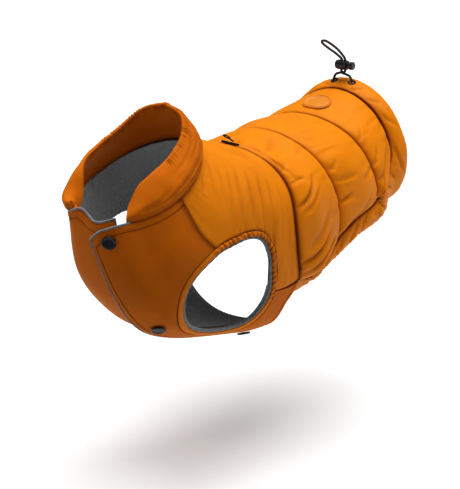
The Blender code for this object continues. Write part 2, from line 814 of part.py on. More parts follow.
def build_lock():
    closed = -10.0
    mouth = 6.0
    body = [(0, closed), (LOCK_RADIUS - 2.4, closed), (LOCK_RADIUS - 0.7, closed + 1.0),
            (LOCK_RADIUS, closed + 2.8), (LOCK_RADIUS, mouth - 0.8),
            (LOCK_RADIUS - 0.8, mouth), (BORE, mouth), (BORE, closed + 2.4),
            (0, closed + 2.4)]
    barrel = turned("cord_lock_barrel", body, 24, "black_plastic", lock_seat())
    cut(barrel, cutter("barrel_slot_cutter", (2 * LEG + 4.4, 4.2, 30.0), LOCK))
    stem = BORE - 0.35
    head = LOCK_RADIUS - 0.9
    tip = closed + 2.4 + PLUNGER_TRAVEL + 0.4
    shoulder = mouth + PLUNGER_TRAVEL + 0.6
    rod = [(0, tip), (stem, tip), (stem, shoulder), (head, shoulder), (head, shoulder + 3.6),
           (head - 1.0, shoulder + 4.6), (0, shoulder + 4.6)]
    plunger = turned("cord_lock_plunger", rod, 24, "black_plastic", lock_seat())
    slot_middle = LOCK + np.array([PLUNGER_TRAVEL / 2, 0.0, 0.0])
    slot = (2 * LEG + 4.2 + PLUNGER_TRAVEL, 4.4, 30.0)
    cut(plunger, cutter("plunger_slot_cutter", slot, slot_middle))


SLIDER_S = 67.0
SLIDER_ANGLE = 3.4      # the slider has stopped just left of the spine
SLIDER = (20.0, 7.0, 2.6)       # length along the zip, width, height
PULL_TILT = 18.0                # the pull stands this far up from the zip


def build_zip():
    """The closed zip chain in its seam, the slider on it and the slider's pull."""
    def shape(across, u, outside):
        angle = ZIP_ANGLE * (2 * across - 1)
        s = smooth(YOKE_SEAM, abs(angle))[0] + ZIP_HALF * (2 * u - 1)
        return lifted(s, angle, -0.3 if outside else -1.6)
    bent_slab("zip_chain", (20, 1), shape, "black_plastic")

    where = seat(SLIDER_S, SLIDER_ANGLE, 0.0)
    bm = bmesh.new()
    bmesh.ops.create_cube(bm, size=1.0)
    bmesh.ops.scale(bm, verts=bm.verts[:], vec=Vector(SLIDER) * MM)
    bmesh.ops.translate(bm, verts=bm.verts[:], vec=(0, 0, (SLIDER[2] / 2 + 0.6) * MM))
    bmesh.ops.bevel(bm, geom=bm.edges[:], offset=0.9 * MM, segments=2, profile=0.5,
                    affect="EDGES", material=-1)
    slider = finish_object("zip_slider", bm, "black_metal")
    slider.matrix_world = where

    pin = Matrix.Translation((3.0 * MM, 0, (SLIDER[2] + 0.6 + 1.4) * MM))
    hinge = where @ pin @ Matrix.Rotation(math.radians(PULL_TILT), 4, "Y")
    build_pull(hinge)


def build_pull(hinge):
    """The pull: a flat ring on a short neck, turning on a pin across the zip."""
    ring = turned("zip_pull", [(2.7, -0.5), (4.5, -0.5), (4.5, 0.5), (2.7, 0.5), (2.7, -0.5)],
                  20, "black_metal", Matrix.Identity(4))
    ring.matrix_world = hinge
    bm = bmesh.new()
    bm.from_mesh(ring.data)
    bmesh.ops.translate(bm, verts=bm.verts[:], vec=(-10.0 * MM, 0, 0))
    bm.to_mesh(ring.data)
    bm.free()
    bm = bmesh.new()
    bmesh.ops.create_cube(bm, size=1.0)
    bmesh.ops.scale(bm, verts=bm.verts[:], vec=(6.6 * MM, 2.4 * MM, 1.0 * MM))
    bmesh.ops.translate(bm, verts=bm.verts[:], vec=(-2.6 * MM, 0, 0))
    neck = finish_object("zip_pull_neck", bm, "black_metal")
    neck.matrix_world = hinge
    union = ring.modifiers.new("neck", "BOOLEAN")
    union.operation = "UNION"
    union.solver = "EXACT"
    union.object = neck
    neck.hide_render = True
    neck.display_type = "WIRE"


def build_corner_tab():
    """The folded end of the lining tape at the top corner of the left front."""
    bm = bmesh.new()
    bmesh.ops.create_cube(bm, size=1.0)
    bmesh.ops.scale(bm, verts=bm.verts[:], vec=(1.6 * MM, 6.0 * MM, 2.2 * MM))
    bmesh.ops.bevel(bm, geom=bm.edges[:], offset=0.4 * MM, segments=1, profile=0.5,
                    affect="EDGES", material=-1)
    tab = finish_object("corner_tab", bm, "fleece")
    tab.matrix_world = seat(2.0, LEFT_EDGE + 1.9, FLAP_LIFT - 1.2)


def main():
    for old in list(bpy.data.objects):
        bpy.data.objects.remove(old, do_unlink=True)
    build_yoke()
    for name, point in channel_patches().items():
        build_channel(name, point)
    build_hem_band()
    build_chest("chest_left", 1, wall_lift, 0.45, "softshell", (24, 5))
    build_chest("chest_right", -1, wall_lift, 0.45, "softshell", (24, 5))
    build_lining_yoke()
    build_lining_back()
    build_chest("lining_chest_left", 1, lining_lift, LINING_GAP, "fleece", (24, 4))
    build_chest("lining_chest_right", -1, lining_lift, LINING_GAP, "fleece", (24, 4))
    build_binding("binding_left", 1)
    build_binding("binding_right", -1)
    build_collar()
    build_snaps()
    build_badge()
    build_eyelets()
    build_cord()
    build_lock()
    build_zip()
    build_corner_tab()


main()
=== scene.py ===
"""Looks of the dog winter coat: cloth, padding, linings, stitching, zip, studs and drawcord.

Metres outside, millimetres inside the shape functions.  The cloth lies on one body form: a
place on it has a station s along the spine and an angle round the body, 0 on the spine and
180 under the chest, positive on the wearer's left.
"""

import math

import bmesh
import bpy
import numpy as np
from mathutils import Matrix, Vector


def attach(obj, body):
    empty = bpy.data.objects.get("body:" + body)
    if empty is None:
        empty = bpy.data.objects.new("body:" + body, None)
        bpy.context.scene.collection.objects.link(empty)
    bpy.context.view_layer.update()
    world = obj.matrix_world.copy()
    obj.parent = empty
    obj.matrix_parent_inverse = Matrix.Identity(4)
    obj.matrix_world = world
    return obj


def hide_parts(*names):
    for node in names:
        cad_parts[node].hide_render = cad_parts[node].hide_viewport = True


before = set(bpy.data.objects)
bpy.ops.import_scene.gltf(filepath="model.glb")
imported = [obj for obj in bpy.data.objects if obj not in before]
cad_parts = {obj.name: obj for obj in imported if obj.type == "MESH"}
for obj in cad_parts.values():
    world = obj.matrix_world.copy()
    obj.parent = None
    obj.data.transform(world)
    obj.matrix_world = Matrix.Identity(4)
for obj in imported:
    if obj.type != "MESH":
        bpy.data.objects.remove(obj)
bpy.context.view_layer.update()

MM = 0.001
TAU = math.tau
DEGREE = 1.4            # millimetres of cloth to a degree round the body
LEFT = 1
RIGHT = -1

# ---- the coat's driving sizes
WALL = 2.0              # softshell with its backing
LINING = 1.2            # fleece lining
SEAM_GAP = 0.30
LAYER_GAP = 1.50        # between one layer of cloth and the next
SPINE_PUFF = 2.0        # height of the padding on the spine, where it lies flattest
PUFF = 5.5              # and in the middle of a quilted channel
BAND_PUFF = 5.0         # and in the hem band
BINDING = 6.5           # width of the armhole binding
BINDING_HALF = 2.1      # half its thickness
COLLAR_HALF = 3.6       # half the thickness of the padded collar
COLLAR_TALL = 44.0
COLLAR_ROLL = 5.0       # how far the collar bulges over its seam
COLLAR_LEFT = 138.0     # angle at which the collar stops on the left of the throat
COLLAR_RIGHT = 150.0    # and on the right
COLLAR_LEAN = 3.0       # how far the back of the collar leans out at its top
RIGHT_ROLL = 1.2        # how much fuller the collar's right end is
FLAP_LIFT = 5.9         # the left front's height over the right one
FLAP_FROM = 127.0       # angles between which it rises
FLAP_TO = 152.0
LEFT_EDGE = 170.5       # angle of each front's free edge
RIGHT_EDGE = 202.0
SHOULDER = 91.0         # angle of the corner between yoke, front and collar
YOKE_END = 111.0        # angles at which the three cross seams end
MIDDLE_END = 107.5
REAR_END = 92.0
BELLY_CORNER = (97.0, 129.0)    # the two rear corners of a front
SIDE_CORNER = (100.0, 113.0)
ZIP_HALF = 1.7          # half the zip's width, and the angle it reaches to
ZIP_ANGLE = 30.0
HOLD = np.array([0.0, 112.0, -12.5])

SECTIONS = np.array([
    # s, top_y, top_z, bottom_y, bottom_z, half_width, low, fullness, bow
    [0, 2, 14, -142, -56, 60, 0.02, 1.90, 0],
    [20, 22, 9, -117, -117, 73, 0.02, 2.15, 0],
    [40, 44, 2, -84, -161, 83, -0.05, 2.15, 0],
    [80, 86, -10, 50, -205, 88, -0.05, 2.30, 0],
    [150, 143, -5, 156, -190, 85, -0.05, 2.10, 8],
    [224, 219, 0, 240, -174, 85, 0.02, 2.15, 8],
    [290, 284, 18, 288, -136, 72, 0.04, 2.00, 6],
    [312, 306, 27, 312, -140, 76, 0.08, 2.00, 6],
], dtype=float)
COLLAR_TOP = np.array([
    # angle, x, y, z
    [0, 0, -26, 52],
    [35, 26, -32, 43],
    [60, 39, -47, 28],
    [85, 45, -75, 13],
    [110, 43, -97, 2],
    [126, 37, -109, -9],
    [138, 32, -115, -25],
    [150, 28, -124, -40],
], dtype=float)
NECK_EDGE = np.array([
    # angle, s
    [0, 0.0],
    [108, 0.0],
    [130, -1.4],
    [150, -3.0],
    [160, -2.4],
    [172, 0.3],
    [205, 0.3],
])
ARMHOLE = np.array([
    # s, angle
    [35, 99],
    [32, 113],
    [34, 126],
    [41, 139],
    [51, 149],
    [62, 152],
    [72, 146],
    [77, 133],
    [76, 117],
    [72, 104],
    [67, 93],
    [59, 87],
    [50, 87],
    [41, 92],
], dtype=float)
ARMHOLE_BACK = 8
YOKE_SEAM = np.array([[0, 68], [14, 71], [30, 77], [50, 83], [85, 86], [111, 98]], dtype=float)
MIDDLE_SEAM = np.array([[0, 151], [50, 149], [75, 152], [108, 149]], dtype=float)
REAR_SEAM = np.array([[0, 223], [50, 224], [90, 227]], dtype=float)
HEM_SEAM = np.array([
    # share, s, angle
    [0.00, 290, 0],
    [0.10, 290, 28],
    [0.20, 289, 58],
    [0.28, 285, 84],
    [0.36, 260, 95],
    [0.44, 232, 93],
    [0.54, 204, 94],
    [0.64, 180, 98],
    [0.74, 160, 105],
    [0.84, 144, 114],
    [0.92, 122, 118],
    [1.00, 100, 112],
])
HEM_AT_REAR_SEAM = 0.455
HEM_AT_MIDDLE_SEAM = 0.79
HEM_EDGE = np.array([
    # share, s, angle
    [0.00, 312, 0],
    [0.10, 313, 28],
    [0.20, 313, 60],
    [0.28, 314, 88],
    [0.36, 308, 116],
    [0.44, 286, 123],
    [0.54, 240, 110],
    [0.64, 198, 109],
    [0.74, 174, 117],
    [0.84, 154, 125],
    [0.92, 131, 126],
    [1.00, 101, 121],
])
HEM_FLARE = 6.0         # the band stands off the flank by this much where it turns forward
BELLY_HEM = 100.0       # station where the fronts end under the belly
RIGHT_FULL = 4.0        # how far the right front swells out beside the chest
NECK_TUCK = np.array([0.0, 12.0, 14.0])     # and how far its top leans in at the throat


# ---- curves through short tables
def smooth(rows, x):
    """The values of a table's other columns at x, on a smooth curve through its rows."""
    x = np.asarray(x, dtype=float)
    t = rows[:, 0]
    y = rows[:, 1:]
    slope = np.gradient(y, t, axis=0)
    k = np.clip(np.searchsorted(t, x) - 1, 0, len(t) - 2)
    h = (t[k + 1] - t[k])[..., None]
    q = (x - t[k])[..., None] / h
    start = (1 + 2 * q) * (1 - q) ** 2 * y[k] + q * (1 - q) ** 2 * h * slope[k]
    end = q * q * (3 - 2 * q) * y[k + 1] + q * q * (q - 1) * h * slope[k + 1]
    return start + end


def around(rows, t):
    """The point at row number t of a closed table, on a smooth closed curve."""
    n = len(rows)
    k = np.floor(t).astype(int)
    q = (t - k)[..., None]
    before, start, end, after = (rows[(k + j) % n] for j in (-1, 0, 1, 2))
    bend = 2 * before - 5 * start + 4 * end - after
    return 0.5 * (2 * start + (end - before) * q + bend * q * q
                  + (3 * start - before - 3 * end + after) * q ** 3)


def step(low, high, x):
    """0 at low and 1 at high, smooth between."""
    q = np.clip((x - low) / (high - low), 0.0, 1.0)
    return q * q * (3 - 2 * q)


def bell(distance, width):
    return np.exp(-(distance / width) ** 2)


def length_of(vectors, keep=False):
    return np.linalg.norm(vectors, axis=-1, keepdims=keep)


def unit(vectors):
    return vectors / length_of(vectors, True)


def along_path(points):
    """The distance along a row of points to each of them, from 0."""
    return np.concatenate([[0], np.cumsum(np.linalg.norm(np.diff(points, axis=0), axis=1))])


def at_reach(places, reach, rows):
    """The rows' values at places along a path."""
    return np.stack([np.interp(places, reach, rows[:, i]) for i in range(3)], axis=-1)


# ---- the body form
def form(s, angle):
    """The point of the body form at station s and an angle in degrees, in millimetres."""
    s, angle = np.broadcast_arrays(np.asarray(s, float), np.asarray(angle, float))
    rows = np.moveaxis(smooth(SECTIONS, s), -1, 0)
    top_y, top_z, bottom_y, bottom_z, half, low, full, bow = rows
    up = np.cos(np.radians(angle))
    out = np.sin(np.radians(angle))
    level = np.sign(up) * np.abs(up) ** (2 / full)
    side = np.sign(out) * np.abs(out) ** (2 / full)
    level = level - low * (1 - level * level)
    span_y = (top_y - bottom_y) / 2
    span_z = (top_z - bottom_z) / 2
    back = bow * side * side / np.hypot(span_y, span_z)
    y = (top_y + bottom_y) / 2 + span_y * level + span_z * back
    z = (top_z + bottom_z) / 2 + span_z * level - span_y * back
    return np.stack([half * side, y, z], axis=-1) - HOLD


def directions(s, angle):
    """Vectors along the coat and round it for one unit of s and of angle, and the normal."""
    along = form(s + 0.5, angle) - form(s - 0.5, angle)
    round_it = form(s, angle + 0.5) - form(s, angle - 0.5)
    outward = np.cross(round_it, along)
    return along, round_it, unit(outward)


def lifted(s, angle, lift):
    """Points that stand off the form by lift millimetres."""
    return form(s, angle) + directions(s, angle)[2] * np.asarray(lift, float)[..., None]


def moved(s, angle, way, distance):
    """The s and angle reached from a point by going a distance along the form."""
    along, round_it, _ = directions(s, angle)
    way = unit(way) * np.asarray(distance)[..., None]
    aa = np.sum(along * along, axis=-1)
    ar = np.sum(along * round_it, axis=-1)
    rr = np.sum(round_it * round_it, axis=-1)
    wa = np.sum(way * along, axis=-1)
    wr = np.sum(way * round_it, axis=-1)
    whole = aa * rr - ar * ar
    return np.stack([s + (wa * rr - wr * ar) / whole, angle + (wr * aa - wa * ar) / whole], -1)


# ---- seams
def armhole_edge(t, width):
    """The armhole's edge at row t, moved out over the cloth by a width, as s and angle."""
    t, width = np.broadcast_arrays(np.asarray(t, float), np.asarray(width, float))
    here = around(ARMHOLE, t)
    ahead = around(ARMHOLE, t + 0.05)
    s, angle = here[..., 0], here[..., 1]
    way = form(ahead[..., 0], ahead[..., 1]) - form(s, angle)
    outward = np.cross(directions(s, angle)[2], way)
    middle = form(*np.mean(ARMHOLE, axis=0))
    facing = np.sign(np.sum(outward * (form(s, angle) - middle), axis=-1, keepdims=True))
    return moved(s, angle, outward * facing, width)


def neck_edge(angle):
    angle = np.asarray(angle, float)
    return np.stack([smooth(NECK_EDGE, angle)[..., 0], angle], axis=-1)


def hem_seam(share):
    return smooth(HEM_SEAM, share)


def seam(rows, last):
    """A seam round the body, as a function from 0 on the spine to 1 at its last angle."""
    def curve(v):
        angle = np.asarray(v, float) * last
        return np.stack([smooth(rows, angle)[..., 0], angle], axis=-1)
    return curve


def line(start, end):
    def curve(q):
        q = np.asarray(q, float)[..., None]
        return np.array(start, float) * (1 - q) + np.array(end, float) * q
    return curve


def chain(*legs):
    """Several curves joined end to end, each with its own share of the way."""
    def curve(q):
        q = np.asarray(q, float)
        found = np.zeros(q.shape + (2,))
        for upto, since, leg in reversed(legs):
            here = (q <= upto) if upto < 1.0 else np.ones(q.shape, bool)
            found = np.where(here[..., None], leg((q - since) / (upto - since)), found)
        return found
    return curve


def patch(front, rear, near, far):
    """The smooth patch between four curves: u runs from front to rear, v from near to far."""
    corners = [front(0.0), rear(0.0), front(1.0), rear(1.0)]

    def point(u, v):
        a = np.asarray(u, float)[..., None]
        b = np.asarray(v, float)[..., None]
        ruled = front(v) * (1 - a) + rear(v) * a + near(u) * (1 - b) + far(u) * b
        flat = ((corners[0] * (1 - a) + corners[1] * a) * (1 - b)
                + (corners[2] * (1 - a) + corners[3] * a) * b)
        return ruled - flat
    return point


def spot(place):
    return form(place[..., 0], place[..., 1])


def inset(point, u, v, gap_u, gap_v=SEAM_GAP / 2):
    """The patch's point with its edges drawn in by the gaps, each in millimetres."""
    one = np.ones_like(u)
    length = length_of(spot(point(one, v)) - spot(point(0 * one, v))) + 0.5
    width = length_of(spot(point(u, one)) - spot(point(u, 0 * one))) + 0.5
    cut_u = np.minimum(0.4, gap_u / length)
    cut_v = np.minimum(0.4, gap_v / width)
    return point(cut_u + u * (1 - 2 * cut_u), v * (1 - cut_v))


def mirrored(point, u, across, gap_u, gap_v=SEAM_GAP / 2):
    """A patch that lies on both sides of the spine: across runs from right 0 to left 1."""
    v = 2 * across - 1
    place = inset(point, u, np.abs(v), gap_u, gap_v)
    return place[..., 0], np.copysign(place[..., 1], v)


# ---- folds and gathers
def folds(s, angle, rows):
    """Height of soft troughs, each laid between two places.  A negative depth is a ridge.

    The trough bows sideways by bow at its middle, leans to one side, and has a low shoulder
    of pushed up cloth along each side of it.
    """
    height = np.zeros(np.shape(s))
    for s_from, angle_from, s_to, angle_to, bow, width, lean, deep in rows:
        run = np.array([s_to - s_from, (angle_to - angle_from) * DEGREE])
        long = np.hypot(*run)
        ahead = run / long
        x = s - s_from
        y = (angle - angle_from) * DEGREE
        q = (x * ahead[0] + y * ahead[1]) / long
        arch = 4 * np.clip(q, 0, 1) * (1 - np.clip(q, 0, 1))
        off = y * ahead[0] - x * ahead[1] - bow * arch
        ends = step(-0.18, 0.3, q) * step(1.18, 0.7, q)
        wide = width * (1 + lean * np.tanh(off / width))
        height -= deep * ends * (1.25 * bell(off, wide) - 0.4 * bell(off, 2.5 * wide))
    return height


def creases(seed, count, span, reach, slant, width, depth):
    """Rows for folds: small creases that run off a seam, uneven in every size.

    The seam lies at 0 and the creases are spread along it over a span of angles.
    """
    rng = np.random.default_rng(seed)
    rows = []
    for k in range(count):
        place = span[0] + (span[1] - span[0]) * (k + rng.uniform(0.1, 0.9)) / count
        far = reach[0] + (reach[1] - reach[0]) * rng.uniform(0, 1) ** 2
        rows.append((-1.0, place, far, place + rng.uniform(-slant, slant), rng.uniform(-2, 2),
                     rng.uniform(*width), rng.uniform(-0.3, 0.3), rng.uniform(*depth)))
    return rows


def gathers(along, pitch, seed):
    """Irregular small folds across a gathered edge: their spacing and height wander."""
    rng = np.random.default_rng(seed)
    phase = along / pitch * TAU
    tall = np.full(np.shape(along), 0.6)
    for longer in (2.3, 4.1, 7.7):
        slow = along / (pitch * longer) * TAU
        phase = phase + rng.uniform(0.5, 1.3) * np.sin(slow + rng.uniform(0, TAU))
        slower = along / (pitch * longer * 1.3) * TAU
        tall = tall + 0.22 * np.sin(slower + rng.uniform(0, TAU))
    return np.clip(tall, 0.1, 1.2) * np.sin(phase)


def ripples(x, y, size, seed, count=7):
    """A gentle uneven surface with swells about size long."""
    rng = np.random.default_rng(seed)
    height = np.zeros(np.shape(x))
    for _ in range(count):
        turn = rng.uniform(0, TAU)
        long = size * rng.uniform(0.7, 1.7)
        start = rng.uniform(0, TAU)
        height += np.sin((x * math.cos(turn) + y * math.sin(turn)) / long * TAU + start)
    return height / math.sqrt(count)


# ---- meshes
def added(name, data):
    """A new object in the scene that holds the data."""
    made = bpy.data.objects.new(name, data)
    bpy.context.scene.collection.objects.link(made)
    return made


def finish_mesh(name, bm, finish, angle=50.0):
    """Turn a bmesh into a named, smooth shaded piece of the coat with its material."""
    bmesh.ops.recalc_face_normals(bm, faces=bm.faces[:])
    if bm.calc_volume(signed=True) < 0:
        bmesh.ops.reverse_faces(bm, faces=bm.faces[:])
    mesh = bpy.data.meshes.new(name)
    bm.to_mesh(mesh)
    bm.free()
    mesh.shade_smooth()
    mesh.set_sharp_from_angle(angle=math.radians(angle))
    mesh.materials.append(finish)
    return added(name, mesh)


def grid(cells, tall):
    """A flat grid of cells from 0 to 1 each way, or a slab of them one unit tall."""
    bm = bmesh.new()
    bmesh.ops.create_grid(bm, x_segments=cells[0], y_segments=cells[1], size=0.5)
    bmesh.ops.translate(bm, verts=bm.verts[:], vec=(0.5, 0.5, 0.0))
    if tall:
        grown = bmesh.ops.extrude_face_region(bm, geom=bm.faces[:], use_keep_orig=True)
        top = [g for g in grown["geom"] if isinstance(g, bmesh.types.BMVert)]
        bmesh.ops.translate(bm, verts=top, vec=(0.0, 0.0, 1.0))
    return bm


def shaded(places, deep, outside=1.0):
    """Points with a fourth column, 0 to 1: painted shade, from how deep in a trough of the cloth
    each one lies and how near a seam.
    """
    return np.concatenate([places, (np.clip(deep, 0.0, 1.0) * outside)[:, None]], axis=1)


def lay_cut(bm, flat_place):
    """Give the faces the cloth's flat pattern, from where each corner lies on it."""
    layer = bm.loops.layers.uv.new("cut")
    for face in bm.faces:
        for loop in face.loops:
            loop[layer].uv = flat_place(loop.vert.co)


def bend(bm, shape, flat):
    """Lay the flat pattern on the grid, and move its points to where shape puts them."""
    lay_cut(bm, lambda co: (co.x * flat[0] * MM, co.y * flat[1] * MM))
    co = np.array([v.co for v in bm.verts])
    placed = shape(co[:, 0], co[:, 1], co[:, 2] > 0.5)
    # A fourth column is painted shade, kept on the mesh as an attribute for the finish.
    if placed.shape[1] == 4:
        painted_shade = bm.verts.layers.float.new("painted_shade")
        for vert, deep in zip(bm.verts, placed[:, 3]):
            vert[painted_shade] = deep
    for vert, place in zip(bm.verts, placed[:, :3] * MM):
        vert.co = place


def slab(name, cells, shape, flat, finish):
    """A slab of cloth: shape(u, v, outside) gives each corner's place in millimetres."""
    bm = grid(cells, True)
    bend(bm, shape, flat)
    return finish_mesh(name, bm, finish)


def fill_ends(bm):
    bmesh.ops.holes_fill(bm, edges=[e for e in bm.edges if e.is_boundary], sides=0)


def tube(name, cells, shape, flat, finish, closed):
    """A tube of cloth: u runs along it, and v once round its section."""
    bm = grid(cells, False)
    bend(bm, lambda u, v, _: shape(u, v), flat)
    bmesh.ops.remove_doubles(bm, verts=bm.verts[:], dist=0.00002)
    if not closed:
        fill_ends(bm)
    return finish_mesh(name, bm, finish, 80.0)


def seat(s, angle, lift):
    """A matrix on the form at a point: Z is the normal and Y runs along the coat."""
    along, _, outward = directions(s, angle)
    up = Vector(outward).normalized()
    side = Vector(along).cross(up).normalized()
    ahead = up.cross(side)
    turn = Matrix((side, ahead, up)).transposed().to_4x4()
    return Matrix.Translation(Vector(lifted(s, angle, lift) * MM)) @ turn


def turned_mesh(profile, steps, where):
    """A closed bmesh turned from its profile of radii and heights, in millimetres."""
    bm = bmesh.new()
    ring = [bm.verts.new((r * MM, 0.0, z * MM)) for r, z in profile]
    edges = [bm.edges.new(pair) for pair in zip(ring, ring[1:])]
    bmesh.ops.spin(bm, geom=ring + edges, cent=(0, 0, 0), axis=(0, 0, 1),
                   angle=TAU, steps=steps, use_merge=True)
    bmesh.ops.remove_doubles(bm, verts=bm.verts[:], dist=0.00001)
    bmesh.ops.transform(bm, matrix=where, verts=bm.verts[:])
    return bm


# ---- materials
def node(tree, kind, settings=(), **inputs):
    """A new node with some of its settings and inputs.

    An input goes by its name, or by i and its number.  A node or a socket is linked to it,
    and a number is set on it.
    """
    made = tree.nodes.new(kind)
    for key, value in dict(settings).items():
        setattr(made, key, value)
    for key, value in inputs.items():
        numbered = key[0] == "i" and key[1:].isdigit()
        place = made.inputs[int(key[1:]) if numbered else key.replace("_", " ")]
        if isinstance(value, bpy.types.Node):
            value = value.outputs[0]
        if isinstance(value, bpy.types.NodeSocket):
            tree.links.new(value, place)
        else:
            place.default_value = value
    return made


def math_node(tree, operation, **inputs):
    return node(tree, "ShaderNodeMath", {"operation": operation}, **inputs)


def noise_node(tree, settings=(), **inputs):
    return node(tree, "ShaderNodeTexNoise", settings, **inputs)


def object_place(tree):
    return node(tree, "ShaderNodeTexCoord").outputs["Object"]


def split_cut(tree):
    """The two coordinates of the cloth's flat pattern."""
    cut = node(tree, "ShaderNodeUVMap", {"uv_map": "cut"})
    return node(tree, "ShaderNodeSeparateXYZ", Vector=cut).outputs


def set_finish(shader, **values):
    """Set numbers or colours on the shader's own sockets."""
    for key, value in values.items():
        shader.inputs[key.replace("_", " ")].default_value = value


def finish_of(name, colour, roughness, metallic=0.0):
    """A new material's tree and its Principled shader."""
    made = bpy.data.materials.new(name)
    made.use_nodes = True
    tree = made.node_tree
    shader = tree.nodes["Principled BSDF"]
    set_finish(shader, Base_Color=(*colour, 1.0), Roughness=roughness, Metallic=metallic)
    return made, tree, shader


def bumped(tree, shader, **inputs):
    """Raise the surface by a height, through the shader's normal."""
    bump = node(tree, "ShaderNodeBump", **inputs)
    tree.links.new(bump.outputs[0], shader.inputs["Normal"])


def uneven_gloss(tree, shader, noise, roughness, spread):
    """Roughness that wanders by a spread to each side."""
    rough = node(tree, "ShaderNodeMapRange", Value=noise,
                 To_Min=roughness - spread, To_Max=roughness + spread)
    tree.links.new(rough.outputs[0], shader.inputs["Roughness"])


def sine(tree, value, pitch):
    """A wave of the given pitch in metres over a coordinate."""
    return math_node(tree, "SINE", i0=math_node(tree, "MULTIPLY", i0=value, i1=TAU / pitch))


def mottled(tree, shader, coordinate, colour, share, size):
    """Colour that wanders a little, in patches of a size, darker to lighter by a share."""
    noise = noise_node(tree, Vector=coordinate, Scale=1 / size, Detail=4.0)
    dark = tuple(c * (1 - share) for c in colour)
    light = tuple(min(1.0, c * (1 + share)) for c in colour)
    ramp = node(tree, "ShaderNodeValToRGB", Fac=noise)
    for end, place, shade in zip(ramp.color_ramp.elements, (0.3, 0.7), (dark, light)):
        end.position = place
        end.color = (*shade, 1.0)
    tree.links.new(ramp.outputs[0], shader.inputs["Base Color"])
    return ramp.outputs[0]


def paint_shade_in_troughs(tree, shader, found, colour):
    """Paint shade into the colour: darken it where the cloth lies in a trough or runs into a
    seam.
    """
    # The painted shade's colour: the cloth's colour darkened, most in blue.
    deep = tuple(c * share for c, share in zip(colour, (0.30, 0.20, 0.15)))
    painted_shade = node(tree, "ShaderNodeAttribute", {"attribute_name": "painted_shade"}).outputs["Fac"]
    mix = node(tree, "ShaderNodeMix", {"data_type": "RGBA"}, i0=painted_shade, i6=found, i7=(*deep, 1.0))
    tree.links.new(mix.outputs[2], shader.inputs["Base Color"])


def woven(name, colour, roughness, pitch, depth, sheen, fuzz, rumple=0.12):
    """Woven cloth: a plain weave on the cut, fine rumples, and the nap's sheen."""
    made, tree, shader = finish_of(name, colour, roughness)
    place = object_place(tree)
    across, along, _ = split_cut(tree)
    weave = math_node(tree, "MULTIPLY", i0=sine(tree, across, pitch), i1=sine(tree, along, pitch))
    fine = noise_node(tree, Vector=place, Scale=900.0, Detail=3.0)
    broad = noise_node(tree, Vector=place, Scale=120.0, Detail=5.0)
    both = math_node(tree, "MULTIPLY_ADD", i0=fine, i1=fuzz, i2=weave)
    height = math_node(tree, "MULTIPLY_ADD", i0=broad, i1=3.0 * fuzz, i2=both)
    rumpled = noise_node(tree, {"noise_type": "RIDGED_MULTIFRACTAL"}, Vector=place,
                         Scale=55.0, Detail=3.0, Roughness=0.5, Distortion=0.6)
    under = node(tree, "ShaderNodeBump", Strength=1.0, Distance=rumple * MM, Height=rumpled)
    bumped(tree, shader, Strength=1.0, Distance=depth * MM, Height=height, Normal=under)
    # Painted shade: the colour darkens by the painted shade attribute in troughs and along seams.
    paint_shade_in_troughs(tree, shader, mottled(tree, shader, place, colour, 0.06, 0.035), colour)
    uneven_gloss(tree, shader, broad, roughness, 0.06)
    set_finish(shader, Specular_IOR_Level=0.11, Sheen_Weight=sheen, Sheen_Roughness=0.45,
               Sheen_Tint=(1.0, 0.62, 0.20, 1.0))
    return made


def fleece_finish():
    """Grey fleece: a clumped nap over a matt ground."""
    colour = (0.15, 0.165, 0.175)
    made, tree, shader = finish_of("grey_fleece", colour, 0.95)
    place = object_place(tree)
    nap = noise_node(tree, Vector=place, Scale=700.0, Detail=6.0, Roughness=0.7)
    clumps = node(tree, "ShaderNodeTexVoronoi", Vector=place, Scale=420.0)
    height = math_node(tree, "SUBTRACT", i0=nap, i1=clumps)
    bumped(tree, shader, Strength=0.9, Distance=0.0008, Height=height)
    mottled(tree, shader, place, colour, 0.22, 0.004)
    set_finish(shader, Specular_IOR_Level=0.1, Sheen_Weight=0.5, Sheen_Roughness=0.6)
    return made


def moulded(name, colour, roughness, grain, depth, metallic=0.0, coat=0.0):
    """Moulded plastic, rubber or enamelled metal: fine surface grain and uneven gloss."""
    made, tree, shader = finish_of(name, colour, roughness, metallic)
    place = object_place(tree)
    noise = noise_node(tree, Vector=place, Scale=1 / grain, Detail=4.0)
    bumped(tree, shader, Strength=0.6, Distance=depth * MM, Height=noise)
    uneven_gloss(tree, shader, noise, roughness, 0.08)
    mottled(tree, shader, place, colour, 0.08, 0.006)
    set_finish(shader, Coat_Weight=coat)
    return made


def braid_finish():
    """Black braid: two sets of strands that cross round the cord."""
    made, tree, shader = finish_of("black_braid", (0.014, 0.015, 0.017), 0.6)
    across, along, _ = split_cut(tree)
    strands = [sine(tree, math_node(tree, "MULTIPLY_ADD", i0=along, i1=sign, i2=across), 0.0016)
               for sign in (1.0, -1.0)]
    height = math_node(tree, "MULTIPLY", i0=strands[0], i1=strands[1])
    bumped(tree, shader, Strength=0.8, Distance=0.0004, Height=height)
    set_finish(shader, Sheen_Weight=0.25)
    return made


ORANGE = (0.685, 0.212, 0.003)
SOFTSHELL = woven("orange_softshell", ORANGE, 0.66, 0.0005, 0.04, 0.06, 0.5)
